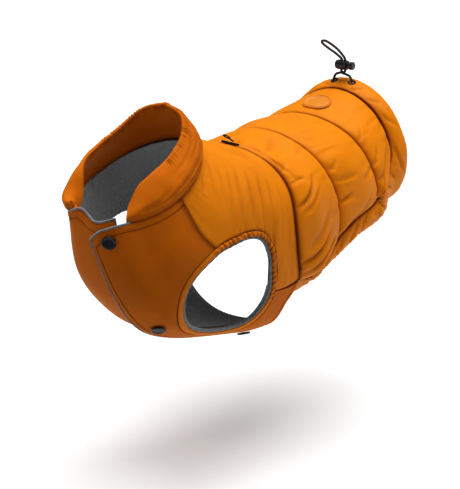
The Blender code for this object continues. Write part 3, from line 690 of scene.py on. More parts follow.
# A darker copy of the softshell for the chest panels and the collar: partly a deeper tone of
# their cloth, partly painted shade for the shade the wearer's head casts on them.
DEEPER_AND_SHADED = woven("deep_orange_softshell_and_painted_shade", (0.57, 0.145, 0.001), 0.66, 0.0005, 0.04, 0.05, 0.5)
SHELL = woven("orange_quilted_shell", (0.70, 0.216, 0.002), 0.50, 0.0004, 0.02, 0.05, 0.4, 0.35)
TRIM = woven("orange_elastic", (0.72, 0.21, 0.004), 0.6, 0.0008, 0.05, 0.1, 0.6)
THREAD = woven("orange_thread", (0.36, 0.075, 0.003), 0.6, 0.0005, 0.05, 0.1, 0.4)
FLEECE = fleece_finish()
PLASTIC = moulded("black_plastic", (0.013, 0.015, 0.018), 0.36, 0.0012, 0.02)
ENAMEL = moulded("black_enamel", (0.012, 0.012, 0.014), 0.26, 0.003, 0.01, 0.6, 0.3)
RUBBER = moulded("orange_rubber", (0.64, 0.215, 0.006), 0.42, 0.0008, 0.06)
TAPE = woven("black_tape", (0.012, 0.012, 0.013), 0.7, 0.0007, 0.06, 0.2, 0.5)
BRAID = braid_finish()


# ---- camera
def look_from(place, target, lens):
    data = bpy.data.cameras.new("camera")
    data.lens = lens
    data.sensor_width = 36.0
    camera = added("camera", data)
    camera.location = place
    camera.rotation_euler = (Vector(target) - Vector(place)).to_track_quat("-Z", "Y").to_euler()
    bpy.context.scene.camera = camera


look_from((0.9355, -1.2270, 0.3754), (-0.0056, -0.0225, -0.1115), 108.2)

def declare(piece, slot, *nodes):
    """Hide the solids a piece stands for and hang the piece on the coat; the slot, for what it is
    made of, is not used.  All of it is on the coat.
    """
    if nodes:
        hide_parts(*nodes)
    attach(piece, "coat")


# ---- drawcord
CORD = 3.0              # diameter of the elastic cord
EYELET_S = 303.0
EYELETS = (9.0, -9.0)   # angles of the two eyelets
FLOOR = 0.5             # height of an eyelet's floor over the cloth
CORD_ROUTE = [
    # x, y, z
    (10.4, 294.2, 31.9),
    (6.0, 293.2, 33.9),
    (0.0, 293.6, 35.3),
    (-2.2, 295.5, 38.7),
    (-2.3, 296.0, 44.0),
    (-2.4, 295.8, 50.5),
    (-5.6, 289.0, 57.5),
    (-10.0, 279.0, 65.0),
    (-12.8, 271.0, 71.5),
    (-10.6, 267.8, 74.9),
    (-6.2, 270.5, 74.1),
    (-0.8, 281.0, 66.0),
    (1.8, 290.5, 57.0),
    (2.4, 295.8, 50.5),
    (2.3, 296.0, 44.0),
    (2.2, 296.5, 38.7),
    (0.0, 298.4, 35.3),
    (-6.0, 297.6, 33.9),
    (-10.4, 296.2, 31.9),
]


def round_off(u, power=0.5):
    """Height of the padding across a channel: 0 at both seams and 1 in the middle."""
    return np.maximum(0.0, 1 - (2 * u - 1) ** 2) ** power


def eyelet_seat(angle):
    u = (EYELET_S - HEM_SEAM[0, 1]) / (HEM_EDGE[0, 1] - HEM_SEAM[0, 1])
    return seat(EYELET_S, angle, SPINE_PUFF * round_off(u) + 0.5)


def cord_ends(above):
    return [np.array(eyelet_seat(angle) @ Vector((0, 0, above * MM))) / MM for angle in EYELETS]


def cord_line():
    """The cord's whole line from one eyelet's floor to the other's, in millimetres."""
    left, right = cord_ends(FLOOR + 0.7)
    left_rim, right_rim = cord_ends(FLOOR + 2.0)
    between = [np.array(p) - HOLD for p in CORD_ROUTE]
    through = [left, left_rim] + between + [right_rim, right]
    rows = np.array([[i, *p] for i, p in enumerate(through)], dtype=float)
    fine = smooth(rows, np.linspace(0, len(through) - 1, 900))
    reach = along_path(fine)
    return at_reach(np.linspace(0, reach[-1], 161), reach, fine)


def tube_along(name, path, radius, sides, finish, flat):
    """A round tube along a path, with closed ends and the braid's pattern laid on it."""
    path = np.asarray(path, float)
    ahead = np.gradient(path, axis=0)
    ahead /= np.linalg.norm(ahead, axis=1, keepdims=True)
    frames = [np.cross(ahead[0], (0.3, 0.9, 0.2))]
    for way in ahead[1:]:
        frames.append(frames[-1] - way * np.dot(frames[-1], way))
    side = np.array([f / np.linalg.norm(f) for f in frames])
    up = np.cross(ahead, side)
    rows = len(path) - 1

    def shape(u, v, _):
        k = np.rint(u * rows).astype(int)
        turn = (v * TAU)[:, None]
        return path[k] + radius * (side[k] * np.cos(turn) + up[k] * np.sin(turn))
    bm = grid((rows, sides), False)
    bend(bm, shape, flat)
    bmesh.ops.remove_doubles(bm, verts=bm.verts[:], dist=0.00001)
    fill_ends(bm)
    return finish_mesh(name, bm, finish, 60.0)


def make_cord():
    path = cord_line()
    length = float(np.sum(np.linalg.norm(np.diff(path, axis=0), axis=1)))
    cord = tube_along("elastic_drawcord", path, CORD / 2, 14, BRAID, (length, CORD * math.pi))
    declare(cord, "black_cord", "drawcord")


make_cord()


# ---- cloth panels
def wall_lift(outside, height=0.0):
    """The outside of the wall at a height, and its inside a wall's thickness below the form."""
    return np.where(outside, height, -WALL)


def lining_lift(outside):
    return np.where(outside, -WALL - LAYER_GAP, -WALL - LAYER_GAP - LINING)


def yoke_patch(gap):
    """From the neck seam to the zip seam, round the shoulder and behind the armhole."""
    shoulder = neck_edge(SHOULDER)
    corner = armhole_edge(0, BINDING + gap)
    back = armhole_edge(ARMHOLE_BACK, BINDING + gap)
    rows = len(ARMHOLE)

    def round_arm(q):
        return armhole_edge(rows + (ARMHOLE_BACK - rows) * q, BINDING + gap)

    rear = seam(YOKE_SEAM, YOKE_END)
    side = chain((0.22, 0.0, line(shoulder, corner)),
                 (0.84, 0.22, round_arm),
                 (1.0, 0.84, line(back, rear(1.0))))
    return patch(lambda v: neck_edge(SHOULDER * np.asarray(v)), rear,
                 line((0.0, 0.0), (YOKE_SEAM[0, 1], 0.0)), side)


def zip_room(angle):
    """Half the gap at the yoke seam: the cloth covers the zip but for a little by its slider."""
    return ZIP_HALF * step(17.0, 9.0, angle) * step(-9.0, -3.0, angle) - 0.1


# The yoke's gathers rise from the armhole and fan out towards the neck.
YOKE_FOLDS = [
    # s_from, angle_from, s_to, angle_to, bow, width, lean, depth
    (6, 40, 24, 80, 2.0, 2.6, 0.0, 0.55),
    (1.5, 50, 12, 79, 1.0, 2.0, 0.0, 0.55),
    (16, 44, 33, 82, 2.0, 2.8, 0.1, 0.6),
    (24, 46, 38, 86, 1.5, 2.4, 0.0, 0.8),
    (32, 44, 44, 84, 1.5, 2.6, 0.2, 0.95),
    (42, 44, 52, 84, 1.0, 2.4, 0.0, 1.05),
    (53, 46, 59, 84, 1.0, 2.5, -0.2, 1.15),
    (63, 50, 66, 88, 0.5, 2.3, 0.1, 1.15),
    (73, 54, 75, 92, 1.5, 2.4, 0.0, 1.0),
    (78, 66, 82, 104, 1.0, 2.4, 0.2, 1.1),
    (82, 86, 88, 109, 0.5, 2.2, 0.0, 1.0),
    (28, 18, 62, 26, 4.0, 7.0, 0.0, 0.5),
    (40, -20, 66, -32, 3.0, 6.0, 0.0, 0.5),
]


def folded(s, angle, rows):
    """The height of the folds on both sides of the spine: the right has the same, uneven."""
    shares = (1.0, 0.8, 1.1, 0.7, 0.95, 1.15, 0.85)
    right = [(s0 + 3, a0 - 2, s1 - 2, a1 + 1, -bow, width * 1.1, -lean, deep * shares[i % 7])
             for i, (s0, a0, s1, a1, bow, width, lean, deep) in enumerate(rows)]
    return np.where(angle >= 0, folds(s, angle, rows), folds(s, -angle, right))


def make_yoke():
    point = yoke_patch(0.2)

    def shape(across, u, outside):
        v = np.abs(2 * across - 1)
        s, angle = mirrored(point, u, across, SEAM_GAP / 2)
        s = s - zip_room(angle) * step(0.8, 1.0, u) * step(0.95, 0.8, v)
        from_neck = u * 66.0
        from_zip = (1 - u) * YOKE_SEAM[0, 1]
        from_arm = (1 - v) * 120.0
        height = 1.8 * folded(s, angle, YOKE_FOLDS)
        height += 0.35 * ripples(s, angle * DEGREE, 42.0, 3)
        arm = step(0.2, 0.3, u) * step(0.95, 0.85, u)
        small = gathers(u * 150.0 + np.sign(angle) * 7, 5.2, 11)
        height += 1.2 * small * arm * bell(from_arm, 9.0)
        height += 0.28 * gathers(np.abs(angle) * DEGREE, 9.0, 5) * bell(from_neck, 9.0)
        height += 0.9 * bell(from_zip - 4.5, 4.0) * step(0.1, 0.25, v)
        height *= step(0.0, 0.05, u) * step(1.0, 0.975, u) * step(1.0, 0.985, v)
        dip = 0.8 * bell(from_neck, 1.1) + 0.8 * bell(from_arm, 0.9)
        # Painted shade: darker in the gathers, along the neck and armhole seams and by the zip
        # seam.
        deep = 0.11 * np.maximum(-height, 0) + 0.7 * dip + 0.7 * bell(from_zip, 1.2)
        return shaded(lifted(s, angle, wall_lift(outside, height - dip)), deep, outside)
    piece = slab("softshell_yoke", (300, 96), shape, (330.0, 75.0), SOFTSHELL)
    declare(piece, "softshell", "yoke")


def channel_patches():
    """The three quilted channels, front to rear."""
    def hem_part(start, end):
        return lambda q: hem_seam(start + (end - start) * np.asarray(q, float))

    def spine(start, end):
        return line((start[0, 1], 0.0), (end[0, 1], 0.0))
    middle = seam(MIDDLE_SEAM, MIDDLE_END)
    point = REAR_SEAM[-1]
    return {
        "channel_front": patch(seam(YOKE_SEAM, YOKE_END), middle, spine(YOKE_SEAM, MIDDLE_SEAM),
                               hem_part(1.0, HEM_AT_MIDDLE_SEAM)),
        "channel_middle": patch(middle, seam(REAR_SEAM, REAR_END), spine(MIDDLE_SEAM, REAR_SEAM),
                                hem_part(HEM_AT_MIDDLE_SEAM, HEM_AT_REAR_SEAM)),
        "channel_rear": patch(seam(REAR_SEAM, point[0]), hem_part(0.0, HEM_AT_REAR_SEAM - 0.015),
                              spine(REAR_SEAM, HEM_SEAM), line(point[::-1], point[::-1] + 2.0)),
    }


# Creases in the padding.
PAD_FOLDS = [
    # s_from, angle_from, s_to, angle_to, bow, width, lean, depth
    (84, 71, 116, 56, 2.0, 2.8, 0.3, 2.4),
    (75, 8, 88, 44, -1.5, 1.8, 0.3, 1.7),
    (77, 24, 92, 50, -2.0, 2.0, 0.2, 1.3),
    (80, 6, 84, 26, 1.0, 2.2, 0.0, -0.9),
    (90, 74, 120, 64, 1.0, 2.4, 0.0, 1.3),
    (83, 54, 104, 53, -1.0, 2.2, 0.3, 1.2),
    (82, 44, 96, 36, 1.0, 2.2, 0.0, 0.9),
    (86, 99, 128, 92, 3.0, 3.0, 0.3, 2.6),
    (92, 106, 142, 99, 3.0, 3.2, 0.2, 2.4),
    (96, 92, 130, 80, 3.0, 4.0, 0.0, 1.2),
    (72, 10, 104, -2, -3.0, 3.0, 0.3, 1.7),
    (70, 4, 96, 14, 2.0, 2.6, 0.0, 1.2),
    (88, 22, 130, 12, 3.0, 5.0, 0.0, 1.0),
    (148, 82, 172, 78, 1.0, 2.4, 0.2, 1.5),
    (147, 105, 176, 96, 2.0, 3.0, 0.2, 1.8),
    (150, 60, 168, 54, 1.0, 2.6, 0.0, 0.8),
    (166, 98, 204, 84, 4.0, 5.0, 0.1, 1.4),
    (196, 72, 224, 66, 1.0, 2.6, 0.2, 1.1),
    (206, 90, 226, 84, 1.0, 2.4, 0.0, 1.3),
    (152, 20, 176, 34, 3.0, 5.0, 0.0, 0.6),
    (224, 68, 244, 60, 2.0, 2.6, 0.2, 1.3),
    (226, 80, 262, 70, 3.0, 3.4, 0.2, 1.8),
    (226, 48, 240, 42, 1.0, 2.2, 0.0, 0.8),
    (262, 78, 288, 66, -3.0, 3.6, 0.0, 1.3),
    (272, 58, 290, 50, 1.0, 3.0, 0.0, 0.8),
    (226, 90, 216, 84, 0.0, 1.3, 0.0, 1.6),
    (226, 91, 214, 91, 0.0, 1.3, 0.0, 1.3),
    (228, 89, 240, 80, 0.0, 1.3, 0.0, 1.7),
    (228, 90, 246, 86, 1.0, 1.5, 0.0, 1.5),
]
CHANNELS = {
    # name: (seed, flat width, flat length, padding's extra height)
    "channel_front": (21, 300.0, 92.0, 3.4),
    "channel_middle": (22, 285.0, 84.0, 3.2),
    "channel_rear": (23, 255.0, 74.0, 2.6),
}


def puff_of(u, v, name):
    """The padding's height: steep at the seams, a broad crown, and flatter at the spine."""
    side = PUFF + CHANNELS[name][3]
    tall = SPINE_PUFF + 1.2 + (side - SPINE_PUFF) * step(0.15, 0.55, v)
    return tall * round_off(u, 0.42) * step(1.0, 0.9, v) ** 0.5


def make_channel(name, point):
    seed, width, length, _ = CHANNELS[name]
    front_creases = creases(seed + 1, 22, (-112, 112), (10, 60), 6, (2.0, 4.2), (0.3, 1.3))
    rear_creases = creases(seed + 2, 20, (-112, 112), (10, 50), 6, (2.0, 4.2), (0.2, 1.1))

    def shape(across, t, outside):
        u = (1 - np.cos(math.pi * t)) / 2
        v = np.abs(2 * across - 1)
        s, angle = mirrored(point, u, across, SEAM_GAP / 2, -1.0)
        if name == "channel_front":
            s = s + zip_room(angle) * step(0.2, 0.0, u)
        height = puff_of(u, v, name)
        soft = round_off(u, 0.8) * step(1.0, 0.93, v)
        creased = 1.7 * folded(s, angle, PAD_FOLDS) * round_off(u, 0.4) * step(1.0, 0.96, v)
        height += 0.7 * ripples(s, angle * DEGREE * 0.6, 46.0, seed) * soft
        seams = round_off(u, 0.35) * step(1.0, 0.96, v) * (0.45 + 0.55 * step(0.0, 0.4, v))
        creased += folds(u * length, angle, front_creases) * seams
        creased += folds((1 - u) * length, angle, rear_creases) * seams
        near = np.minimum(u, 1 - u) * length
        height = np.maximum(height + creased, -0.6) - bell(near, 1.6)
        # Painted shade: darker in the creases and along the seams.
        deep = 0.13 * np.maximum(-creased, 0) + 0.85 * bell(near, 1.2) + 0.16 * bell(near, 5.0)
        return shaded(lifted(s, angle, wall_lift(outside, height)), deep, outside)
    piece = slab("quilted_" + name, (340, 76), shape, (width, length), SHELL)
    declare(piece, "quilted_shell", name)


HEM_FOLDS = [
    # s_from, angle_from, s_to, angle_to, bow, width, lean, depth
    (228, 92, 236, 101, 0.0, 1.4, 0.0, 2.2),
    (229, 93, 247, 101, 1.0, 1.5, 0.2, 2.0),
    (225, 93, 222, 104, 0.0, 1.4, 0.0, 1.6),
    (250, 96, 272, 112, 1.0, 1.9, 0.2, 1.7),
    (262, 98, 286, 108, 1.0, 2.0, 0.0, 1.4),
    (226, 92, 242, 104, 1.0, 2.4, 0.2, 2.0),
    (232, 94, 262, 98, 1.5, 2.2, 0.0, 1.6),
    (206, 94, 190, 104, 1.0, 2.6, 0.2, 1.8),
    (186, 98, 172, 112, 1.0, 2.6, 0.2, 1.6),
    (166, 103, 156, 118, 1.0, 2.4, 0.0, 1.6),
    (146, 112, 140, 128, 1.0, 2.4, 0.0, 1.4),
    (124, 119, 122, 131, 1.0, 2.2, 0.0, 1.4),
    (290, 72, 306, 98, 2.0, 3.0, 0.2, 1.6),
    (291, 48, 306, 62, 1.0, 2.6, 0.0, 0.9),
    (276, 92, 292, 101, 1.0, 2.6, 0.0, 1.6),
    (291, 12, 304, 22, 1.0, 2.4, 0.0, 1.0),
    (291, -16, 304, -6, 1.0, 2.4, 0.0, 1.0),
    (292, 30, 302, 40, 1.0, 2.4, 0.0, 0.7),
]


def make_hem_band():
    band_creases = creases(44, 60, (0, 300), (5, 22), 4, (1.4, 2.8), (0.2, 1.1))
    edge_creases = creases(45, 50, (0, 300), (4, 16), 4, (1.4, 2.4), (0.1, 0.8))

    def shape(across, t, outside):
        u = (1 - np.cos(math.pi * t)) / 2
        share = 1.006 * np.abs(2 * across - 1)
        seam_place = hem_seam(share)
        edge_place = smooth(HEM_EDGE, share)
        width = length_of(spot(edge_place) - spot(seam_place))
        run = share * 420.0
        from_seam = u * width
        from_edge = (1 - u) * width
        cut = 0.2 / width
        q = (cut + u * (1 - cut))[..., None]
        place = seam_place * (1 - q) + edge_place * q
        s = place[..., 0]
        angle = np.copysign(place[..., 1], across - 0.5)
        tall = SPINE_PUFF + 0.8 + (BAND_PUFF + 1.0 - SPINE_PUFF) * step(0.05, 0.2, share)
        height = tall * round_off(u, 0.45) * step(1.0, 0.9, share)
        soft = round_off(u, 0.7) * step(1.0, 0.93, share)
        creased = 1.4 * folded(s, angle, HEM_FOLDS) * round_off(u, 0.4) * step(1.0, 0.95, share)
        height += 0.7 * gathers(run, 13.0, 41) * soft * step(0.22, 0.4, share)
        height += 0.4 * ripples(s, angle * DEGREE, 30.0, 42) * soft
        height += 0.5 * gathers(run + u * 9, 7.0, 43) * bell(from_edge, 7.0) * soft
        creased += folds(from_seam, across * 300.0, band_creases) * soft
        creased += folds(from_edge, across * 300.0, edge_creases) * soft
        flare = HEM_FLARE * bell(share - 0.45, 0.08) * q[..., 0]
        # Painted shade: darker in the creases and along the seam.
        deep = 0.13 * np.maximum(-creased, 0)
        deep = deep + 0.85 * bell(from_seam, 1.3) + 0.16 * bell(from_seam, 5.0)
        lift = flare + wall_lift(outside, np.maximum(height + creased, -0.6))
        return shaded(lifted(s, angle, lift), deep, outside)
    piece = slab("quilted_hem_band", (420, 32), shape, (880.0, 26.0), SHELL)
    declare(piece, "quilted_shell", "hem_band")


def chest_curves(edge):
    """The armhole side and the outer side of a chest panel whose front edge has an angle."""
    def inner(q):
        return armhole_edge(ARMHOLE_BACK * np.asarray(q, float), BINDING)

    def neck(q):
        return neck_edge(SHOULDER + (edge - SHOULDER) * np.asarray(q, float))
    outer = chain((0.30, 0.0, neck),
                  (0.62, 0.30, line((0.3, edge), (BELLY_HEM, edge))),
                  (0.90, 0.62, line((BELLY_HEM, edge), BELLY_CORNER)),
                  (1.0, 0.90, line(BELLY_CORNER, SIDE_CORNER)))
    return inner, outer


def flap_lift(angle):
    return FLAP_LIFT * step(FLAP_FROM, FLAP_TO, angle)


def right_full(s, angle):
    """How far the right front swells out beside the chest."""
    return RIGHT_FULL * bell(s - 18.0, 14.0) * bell(angle - 150.0, 20.0)


def tucked(s, angle, place):
    """The right front's place, leaning in towards the throat at the neck."""
    lean = np.maximum(0.0, 1 - s / 30.0) ** 2 * step(140.0, 172.0, angle)
    return place + NECK_TUCK * lean[..., None]


def chest_place(side, u, v, gap, past):
    """Where a chest panel's point lies: u from the armhole outwards, v from the shoulder round.

    Also gives the cloth's distance in to the outer edge and its width there.
    """
    inner, outer = chest_curves(LEFT_EDGE if side == LEFT else RIGHT_EDGE)
    start = inner(v)
    end = outer(v)
    width = length_of(spot(end) - spot(start)) + 0.5
    near = gap / width
    far = past / width
    q = near + u * (1 - near - far)
    place = start * (1 - q[..., None]) + end * q[..., None]
    return place[..., 0], place[..., 1], (1 - q) * width, q * width


def on_chest(side, s, angle, lift):
    if side == LEFT:
        return lifted(s, angle, lift + flap_lift(angle))
    return tucked(s, angle, lifted(s, -angle, lift + right_full(s, angle)))


HEM_STITCH = 8.0        # the topstitching's distance from the edge
SLOT_IN = 0.0012        # the shoulder seam and the side seam stay this far open


def seam_shares(v):
    return SLOT_IN + v * (1 - 2 * SLOT_IN)


CHEST_FOLDS = [
    # s_from, angle_from, s_to, angle_to, bow, width, lean, depth
    (10, 112, 26, 150, 4.0, 8.0, 0.0, 0.5),
    (30, 150, 70, 160, 3.0, 8.0, 0.0, 0.5),
    (6, 100, 14, 128, 2.0, 5.0, 0.0, 0.4),
    (60, 156, 96, 148, 3.0, 6.0, 0.0, 0.7),
    (84, 150, 104, 132, 2.0, 4.0, 0.0, 0.9),
]


def make_chest(name, side, seed):
    def shape(v, u, outside):
        s, angle, to_edge, from_arm = chest_place(side, u, seam_shares(v), 0.45, SEAM_GAP)
        height = folds(s, angle, CHEST_FOLDS) + 0.3 * ripples(s, angle * DEGREE, 50.0, seed)
        height *= step(0.0, 5.0, to_edge) * step(0.0, 6.0, from_arm) * step(0.0, 0.02, v)
        height -= 0.7 * bell(to_edge - HEM_STITCH, 0.8)
        height += 0.3 * step(HEM_STITCH + 1.0, HEM_STITCH - 2.0, to_edge)
        from_top = v * 60.0
        height -= 0.8 * bell(to_edge, 1.0) + 0.8 * bell(from_arm, 1.0) + 0.6 * bell(from_top, 0.8)
        # Painted shade: darker along the topstitching and at the armhole and shoulder seams.
        deep = 0.45 * bell(to_edge - HEM_STITCH, 0.9) + 0.6 * bell(from_arm, 1.2)
        deep = deep + 0.7 * bell(from_top, 1.0)
        return shaded(on_chest(side, s, angle, wall_lift(outside, height)), deep, outside)
    # The chest panels take the darker softshell, which holds painted shade.
    piece = slab("softshell_" + name, (220, 84), shape, (260.0, 75.0), DEEPER_AND_SHADED)
    declare(piece, "softshell", name)


# ---- linings
def make_lining_yoke():
    point = yoke_patch(-BINDING - 1.8)

    def shape(across, u, outside):
        below = 0.4 - 5.0 * step(0.86, 0.93, u)
        s, angle = mirrored(point, u * 1.05, across, 0.4, below)
        lift = lining_lift(outside) + 0.15 * ripples(s, angle * DEGREE, 18.0, 61)
        return lifted(s, angle, lift + 0.5 * step(0.9, 1.0, u))
    piece = slab("fleece_lining_yoke", (150, 40), shape, (330.0, 75.0), FLEECE)
    declare(piece, "fleece", "lining_yoke")


def make_lining_back():
    """One lining behind all three channels, from the yoke seam to the hem seam."""
    def shape(across, u, outside):
        v = np.abs(2 * across - 1)
        front = seam(YOKE_SEAM, 115.0)(v)
        rear = hem_seam(v) + 0.35 * (smooth(HEM_EDGE, v) - hem_seam(v))
        q = (0.004 + u * 0.996)[..., None]
        place = front * (1 - q) + rear * q
        angle = np.copysign(place[..., 1], across - 0.5)
        lift = lining_lift(outside) + 0.2 * ripples(place[..., 0], angle * DEGREE, 22.0, 62)
        lift = lift + (LAYER_GAP - 0.5) * step(0.9, 1.0, u)
        return lifted(place[..., 0], angle, lift)
    piece = slab("fleece_lining_back", (120, 60), shape, (330.0, 230.0), FLEECE)
    declare(piece, "fleece", "lining_back")


def make_chest_lining(name, side):
    """The lining comes up to the edge of the front."""
    def shape(v, u, outside):
        s, angle, to_edge, _ = chest_place(side, u, v * 1.05 - 0.02, -BINDING - 1.8, 0.4)
        raised = (LAYER_GAP - 0.35) * step(9.0, 3.0, to_edge) - 0.2
        return on_chest(side, s, angle, lining_lift(outside) + raised)
    piece = slab("fleece_" + name, (140, 40), shape, (260.0, 75.0), FLEECE)
    declare(piece, "fleece", name)


EDGING = 1.2            # half the thickness of the lining where it is turned out
ARM_EDGING = 1.9        # and round the armholes


def make_edging(name, side, start, end):
    """The lining turned out as a thin roll along the free edge of a front."""
    v = np.linspace(start, end, 260)
    s, angle, _, _ = chest_place(side, np.ones_like(v), seam_shares(v), 0.45, -0.9)
    path = on_chest(side, s, angle, np.full(v.shape, -0.8))
    declare(tube_along(name, path, EDGING, 12, FLEECE, (260.0, 7.5)), "fleece")


def make_arm_edging(name, side, seed):
    """The lining turned out round an armhole, just inside its binding."""
    rows = len(ARMHOLE)

    def shape(u, v):
        t = u * rows
        turn = v * TAU
        half = ARM_EDGING * (1 + 0.12 * gathers(u * 300.0, 7.0, seed))
        place = armhole_edge(t, -0.7 + half * np.cos(turn))
        lift = -2.9 + half * np.sin(turn)
        if side == LEFT:
            lift = lift + flap_lift(place[..., 1])
        return lifted(place[..., 0], side * place[..., 1], lift)
    declare(tube(name, (300, 14), shape, (320.0, 12.0), FLEECE, True), "fleece")


# ---- bindings and collar
def squared(wave):
    """A sine or cosine pressed a little towards a box."""
    return np.sign(wave) * np.abs(wave) ** 0.8


def make_binding(name, side, seed):
    """The armhole's edge: a flat turned hem in front, twisted elastic over the top and back."""
    rows = len(ARMHOLE)

    def shape(u, v):
        t = u * rows
        turn = v * TAU
        twisted = step(6.6, 8.6, t) * step(rows + 0.3, rows - 0.4, t) + step(0.25, 0.0, t)
        reach = BINDING / 2 - 0.15
        wave = gathers(u * 300.0, 5.4, seed)
        twist = np.sin(turn + u * 300.0 / 6.0 * TAU + wave)
        half = BINDING_HALF * (0.62 + 0.34 * twisted)
        half = half * (1 + twisted * (0.20 * wave + 0.26 * twist))
        reach = reach * (1 - twisted * (0.06 - 0.10 * wave))
        place = armhole_edge(t, BINDING / 2 + reach * squared(np.cos(turn)))
        lift = -WALL / 2 + half * squared(np.sin(turn))
        if side == LEFT:
            lift = lift + flap_lift(place[..., 1])
        # Painted shade: darker in the twists and along the binding's two edges.
        deep = twisted * (0.5 - 0.3 * wave - 0.5 * twist) + 0.5 * bell(np.sin(turn), 0.5)
        return shaded(lifted(place[..., 0], side * place[..., 1], lift), 0.7 * deep)
    piece = tube("elastic_" + name, (520, 22), shape, (320.0, 20.0), TRIM, True)
    declare(piece, "trim", name)


def collar_point(angle, rise, out):
    """A point of the collar: rise 0 at the seam and 1 at the top, out from its middle."""
    start = neck_edge(np.abs(angle))[..., 0]
    base = form(start, angle)
    along, round_it, outward = directions(start, angle)
    base = base + unit(along) * 0.5 - outward * 1.3
    base = np.where((angle < 0)[..., None], tucked(start, -angle, base), base)
    x, y, z = np.moveaxis(smooth(COLLAR_TOP, np.abs(angle)), -1, 0)
    top = np.stack([np.copysign(x, angle), y, z], axis=-1) - HOLD
    up = top - base
    away = unit(np.cross(round_it, up))
    away = away * np.sign(np.sum(away * outward, axis=-1, keepdims=True))
    bulge = COLLAR_ROLL * np.sin(math.pi * rise ** 0.62) * (1 - 0.25 * rise)
    bulge = bulge + COLLAR_LEAN * rise * step(70.0, 30.0, np.abs(angle))
    return base + up * rise[..., None] + away * (bulge + out)[..., None]


COLLAR_FOLDS = [
    # up_from, angle_from, up_to, angle_to, bow, width, lean, depth
    (5, -70, 7, 104, 0.0, 1.0, 0.0, 1.4),
    (10, 20, 9, 118, -2.0, 1.5, 0.3, 1.6),
    (9, -112, 11, -30, 2.0, 1.6, 0.3, 1.4),
    (14, 30, 13, 96, -1.0, 1.3, 0.2, 1.1),
    (18, 14, 15, 78, 1.5, 1.5, 0.2, 1.2),
    (24, 4, 19, 66, 2.5, 1.7, 0.0, 1.2),
    (31, 14, 24, 72, 3.0, 1.8, 0.0, 1.1),
    (35, 44, 28, 88, 2.0, 2.2, 0.0, 0.7),
    (17, 100, 12, 128, 2.0, 2.6, 0.0, 0.9),
    (22, -60, 30, -14, 3.0, 2.2, 0.0, 1.0),
    (14, -90, 20, -40, 1.0, 1.8, 0.0, 1.0),
]


def make_collar():
    def shape(u, v):
        angle = (COLLAR_LEFT + COLLAR_RIGHT) * u - COLLAR_RIGHT
        turn = v * TAU
        rise = 0.5 - 0.5 * np.cos(turn)
        outer = np.sin(turn)
        blunt = 0.3 + 0.3 * step(0.0, 0.12, rise)
        thick = COLLAR_HALF * np.abs(outer) ** blunt * (0.72 + 0.28 * step(0.0, 0.3, rise))
        thick = thick * (0.5 + 0.5 * step(1.0, 0.94, np.abs(2 * u - 1))
                         + RIGHT_ROLL * step(-108, -132, angle))
        run = angle * DEGREE
        elastic = step(112.0, 78.0, np.abs(angle))
        up = rise * COLLAR_TALL
        down = (1 - rise) * COLLAR_TALL
        crinkle = gathers(run, 4.2, 71) * bell(down, 8.0) * elastic
        long_folds = folds(up, angle, COLLAR_FOLDS)
        stitched = 0.5 * bell(down - 4.0, 0.7) * step(60.0, 84.0, np.abs(angle))
        swell = 0.35 * ripples(up, run, 30.0, 72) * step(0.0, 0.2, rise)
        face = step(-0.25, 0.25, outer) * step(1.0, 0.8, rise)
        out = np.copysign(thick, outer) + crinkle * 1.3 + face * (long_folds + swell - stitched)
        rise = rise - 0.016 * elastic * np.abs(gathers(run, 4.2, 71)) * step(0.8, 1.0, rise)
        # Painted shade: darker in the folds and crinkles and along the seam at the collar's foot.
        deep = 0.35 * np.maximum(-long_folds, 0) * face + 0.5 * bell(up, 2.0)
        deep += 0.3 * np.maximum(-crinkle, 0)
        return shaded(collar_point(angle, rise, out), deep)
    # The collar takes the darker softshell, which holds painted shade.
    piece = tube("stand_collar", (460, 64), shape, (280.0, 100.0), DEEPER_AND_SHADED, False)
    declare(piece, "softshell", "collar")


# ---- topstitching
STITCH = 2.6            # length of a stitch
STITCH_GAP = 0.9        # and the gap to the next


def stitches(name, places, normals):
    """A row of stitches that follows places on the cloth, each a rounded thread end to end."""
    places = np.asarray(places)
    reach = along_path(places)
    count = int(reach[-1] / (STITCH + STITCH_GAP))
    bm = bmesh.new()
    for k in range(count):
        middle = (k + 0.5) * reach[-1] / count
        ends = [at_reach(middle + d, reach, places) for d in (-STITCH / 2, STITCH / 2)]
        up = at_reach(middle, reach, normals)
        ahead = Vector(ends[1] - ends[0]).normalized()
        side = ahead.cross(Vector(up)).normalized()
        turn = Matrix((ahead, side, side.cross(ahead) * -1)).transposed().to_4x4()
        where = Matrix.Translation(Vector((ends[0] + ends[1]) / 2 * MM)) @ turn
        size = Matrix.Diagonal((STITCH / 2 * MM, 0.28 * MM, 0.24 * MM, 1.0))
        bmesh.ops.create_icosphere(bm, subdivisions=1, radius=1.0, matrix=where @ size)
    lay_cut(bm, lambda co: (co.x, co.z))
    declare(finish_mesh(name, bm, THREAD, 180.0), "trim")


def stitch_chest(name, side, start, end):
    v = np.linspace(start, end, 160)
    s, angle, _, _ = chest_place(side, np.ones_like(v), seam_shares(v), 0.45, HEM_STITCH)
    normal = directions(s, side * angle)[2]
    stitches(name, on_chest(side, s, angle, np.full(v.shape, -0.35)), normal)


# ---- studs, badge and eyelets
SNAPS = {
    # name: (s, angle) on the left front
    "snap_cap_throat": (1.3, 155.5),
    "snap_cap_chest": (41.5, 158.5),
    "snap_cap_belly": (86.0, 163.0),
}
SNAP_RADIUS = 7.4


def hardware(name, bm, finish, slot, *nodes):
    lay_cut(bm, lambda co: (co.x, co.y))
    declare(finish_mesh(name, bm, finish, 35.0), slot, *nodes)


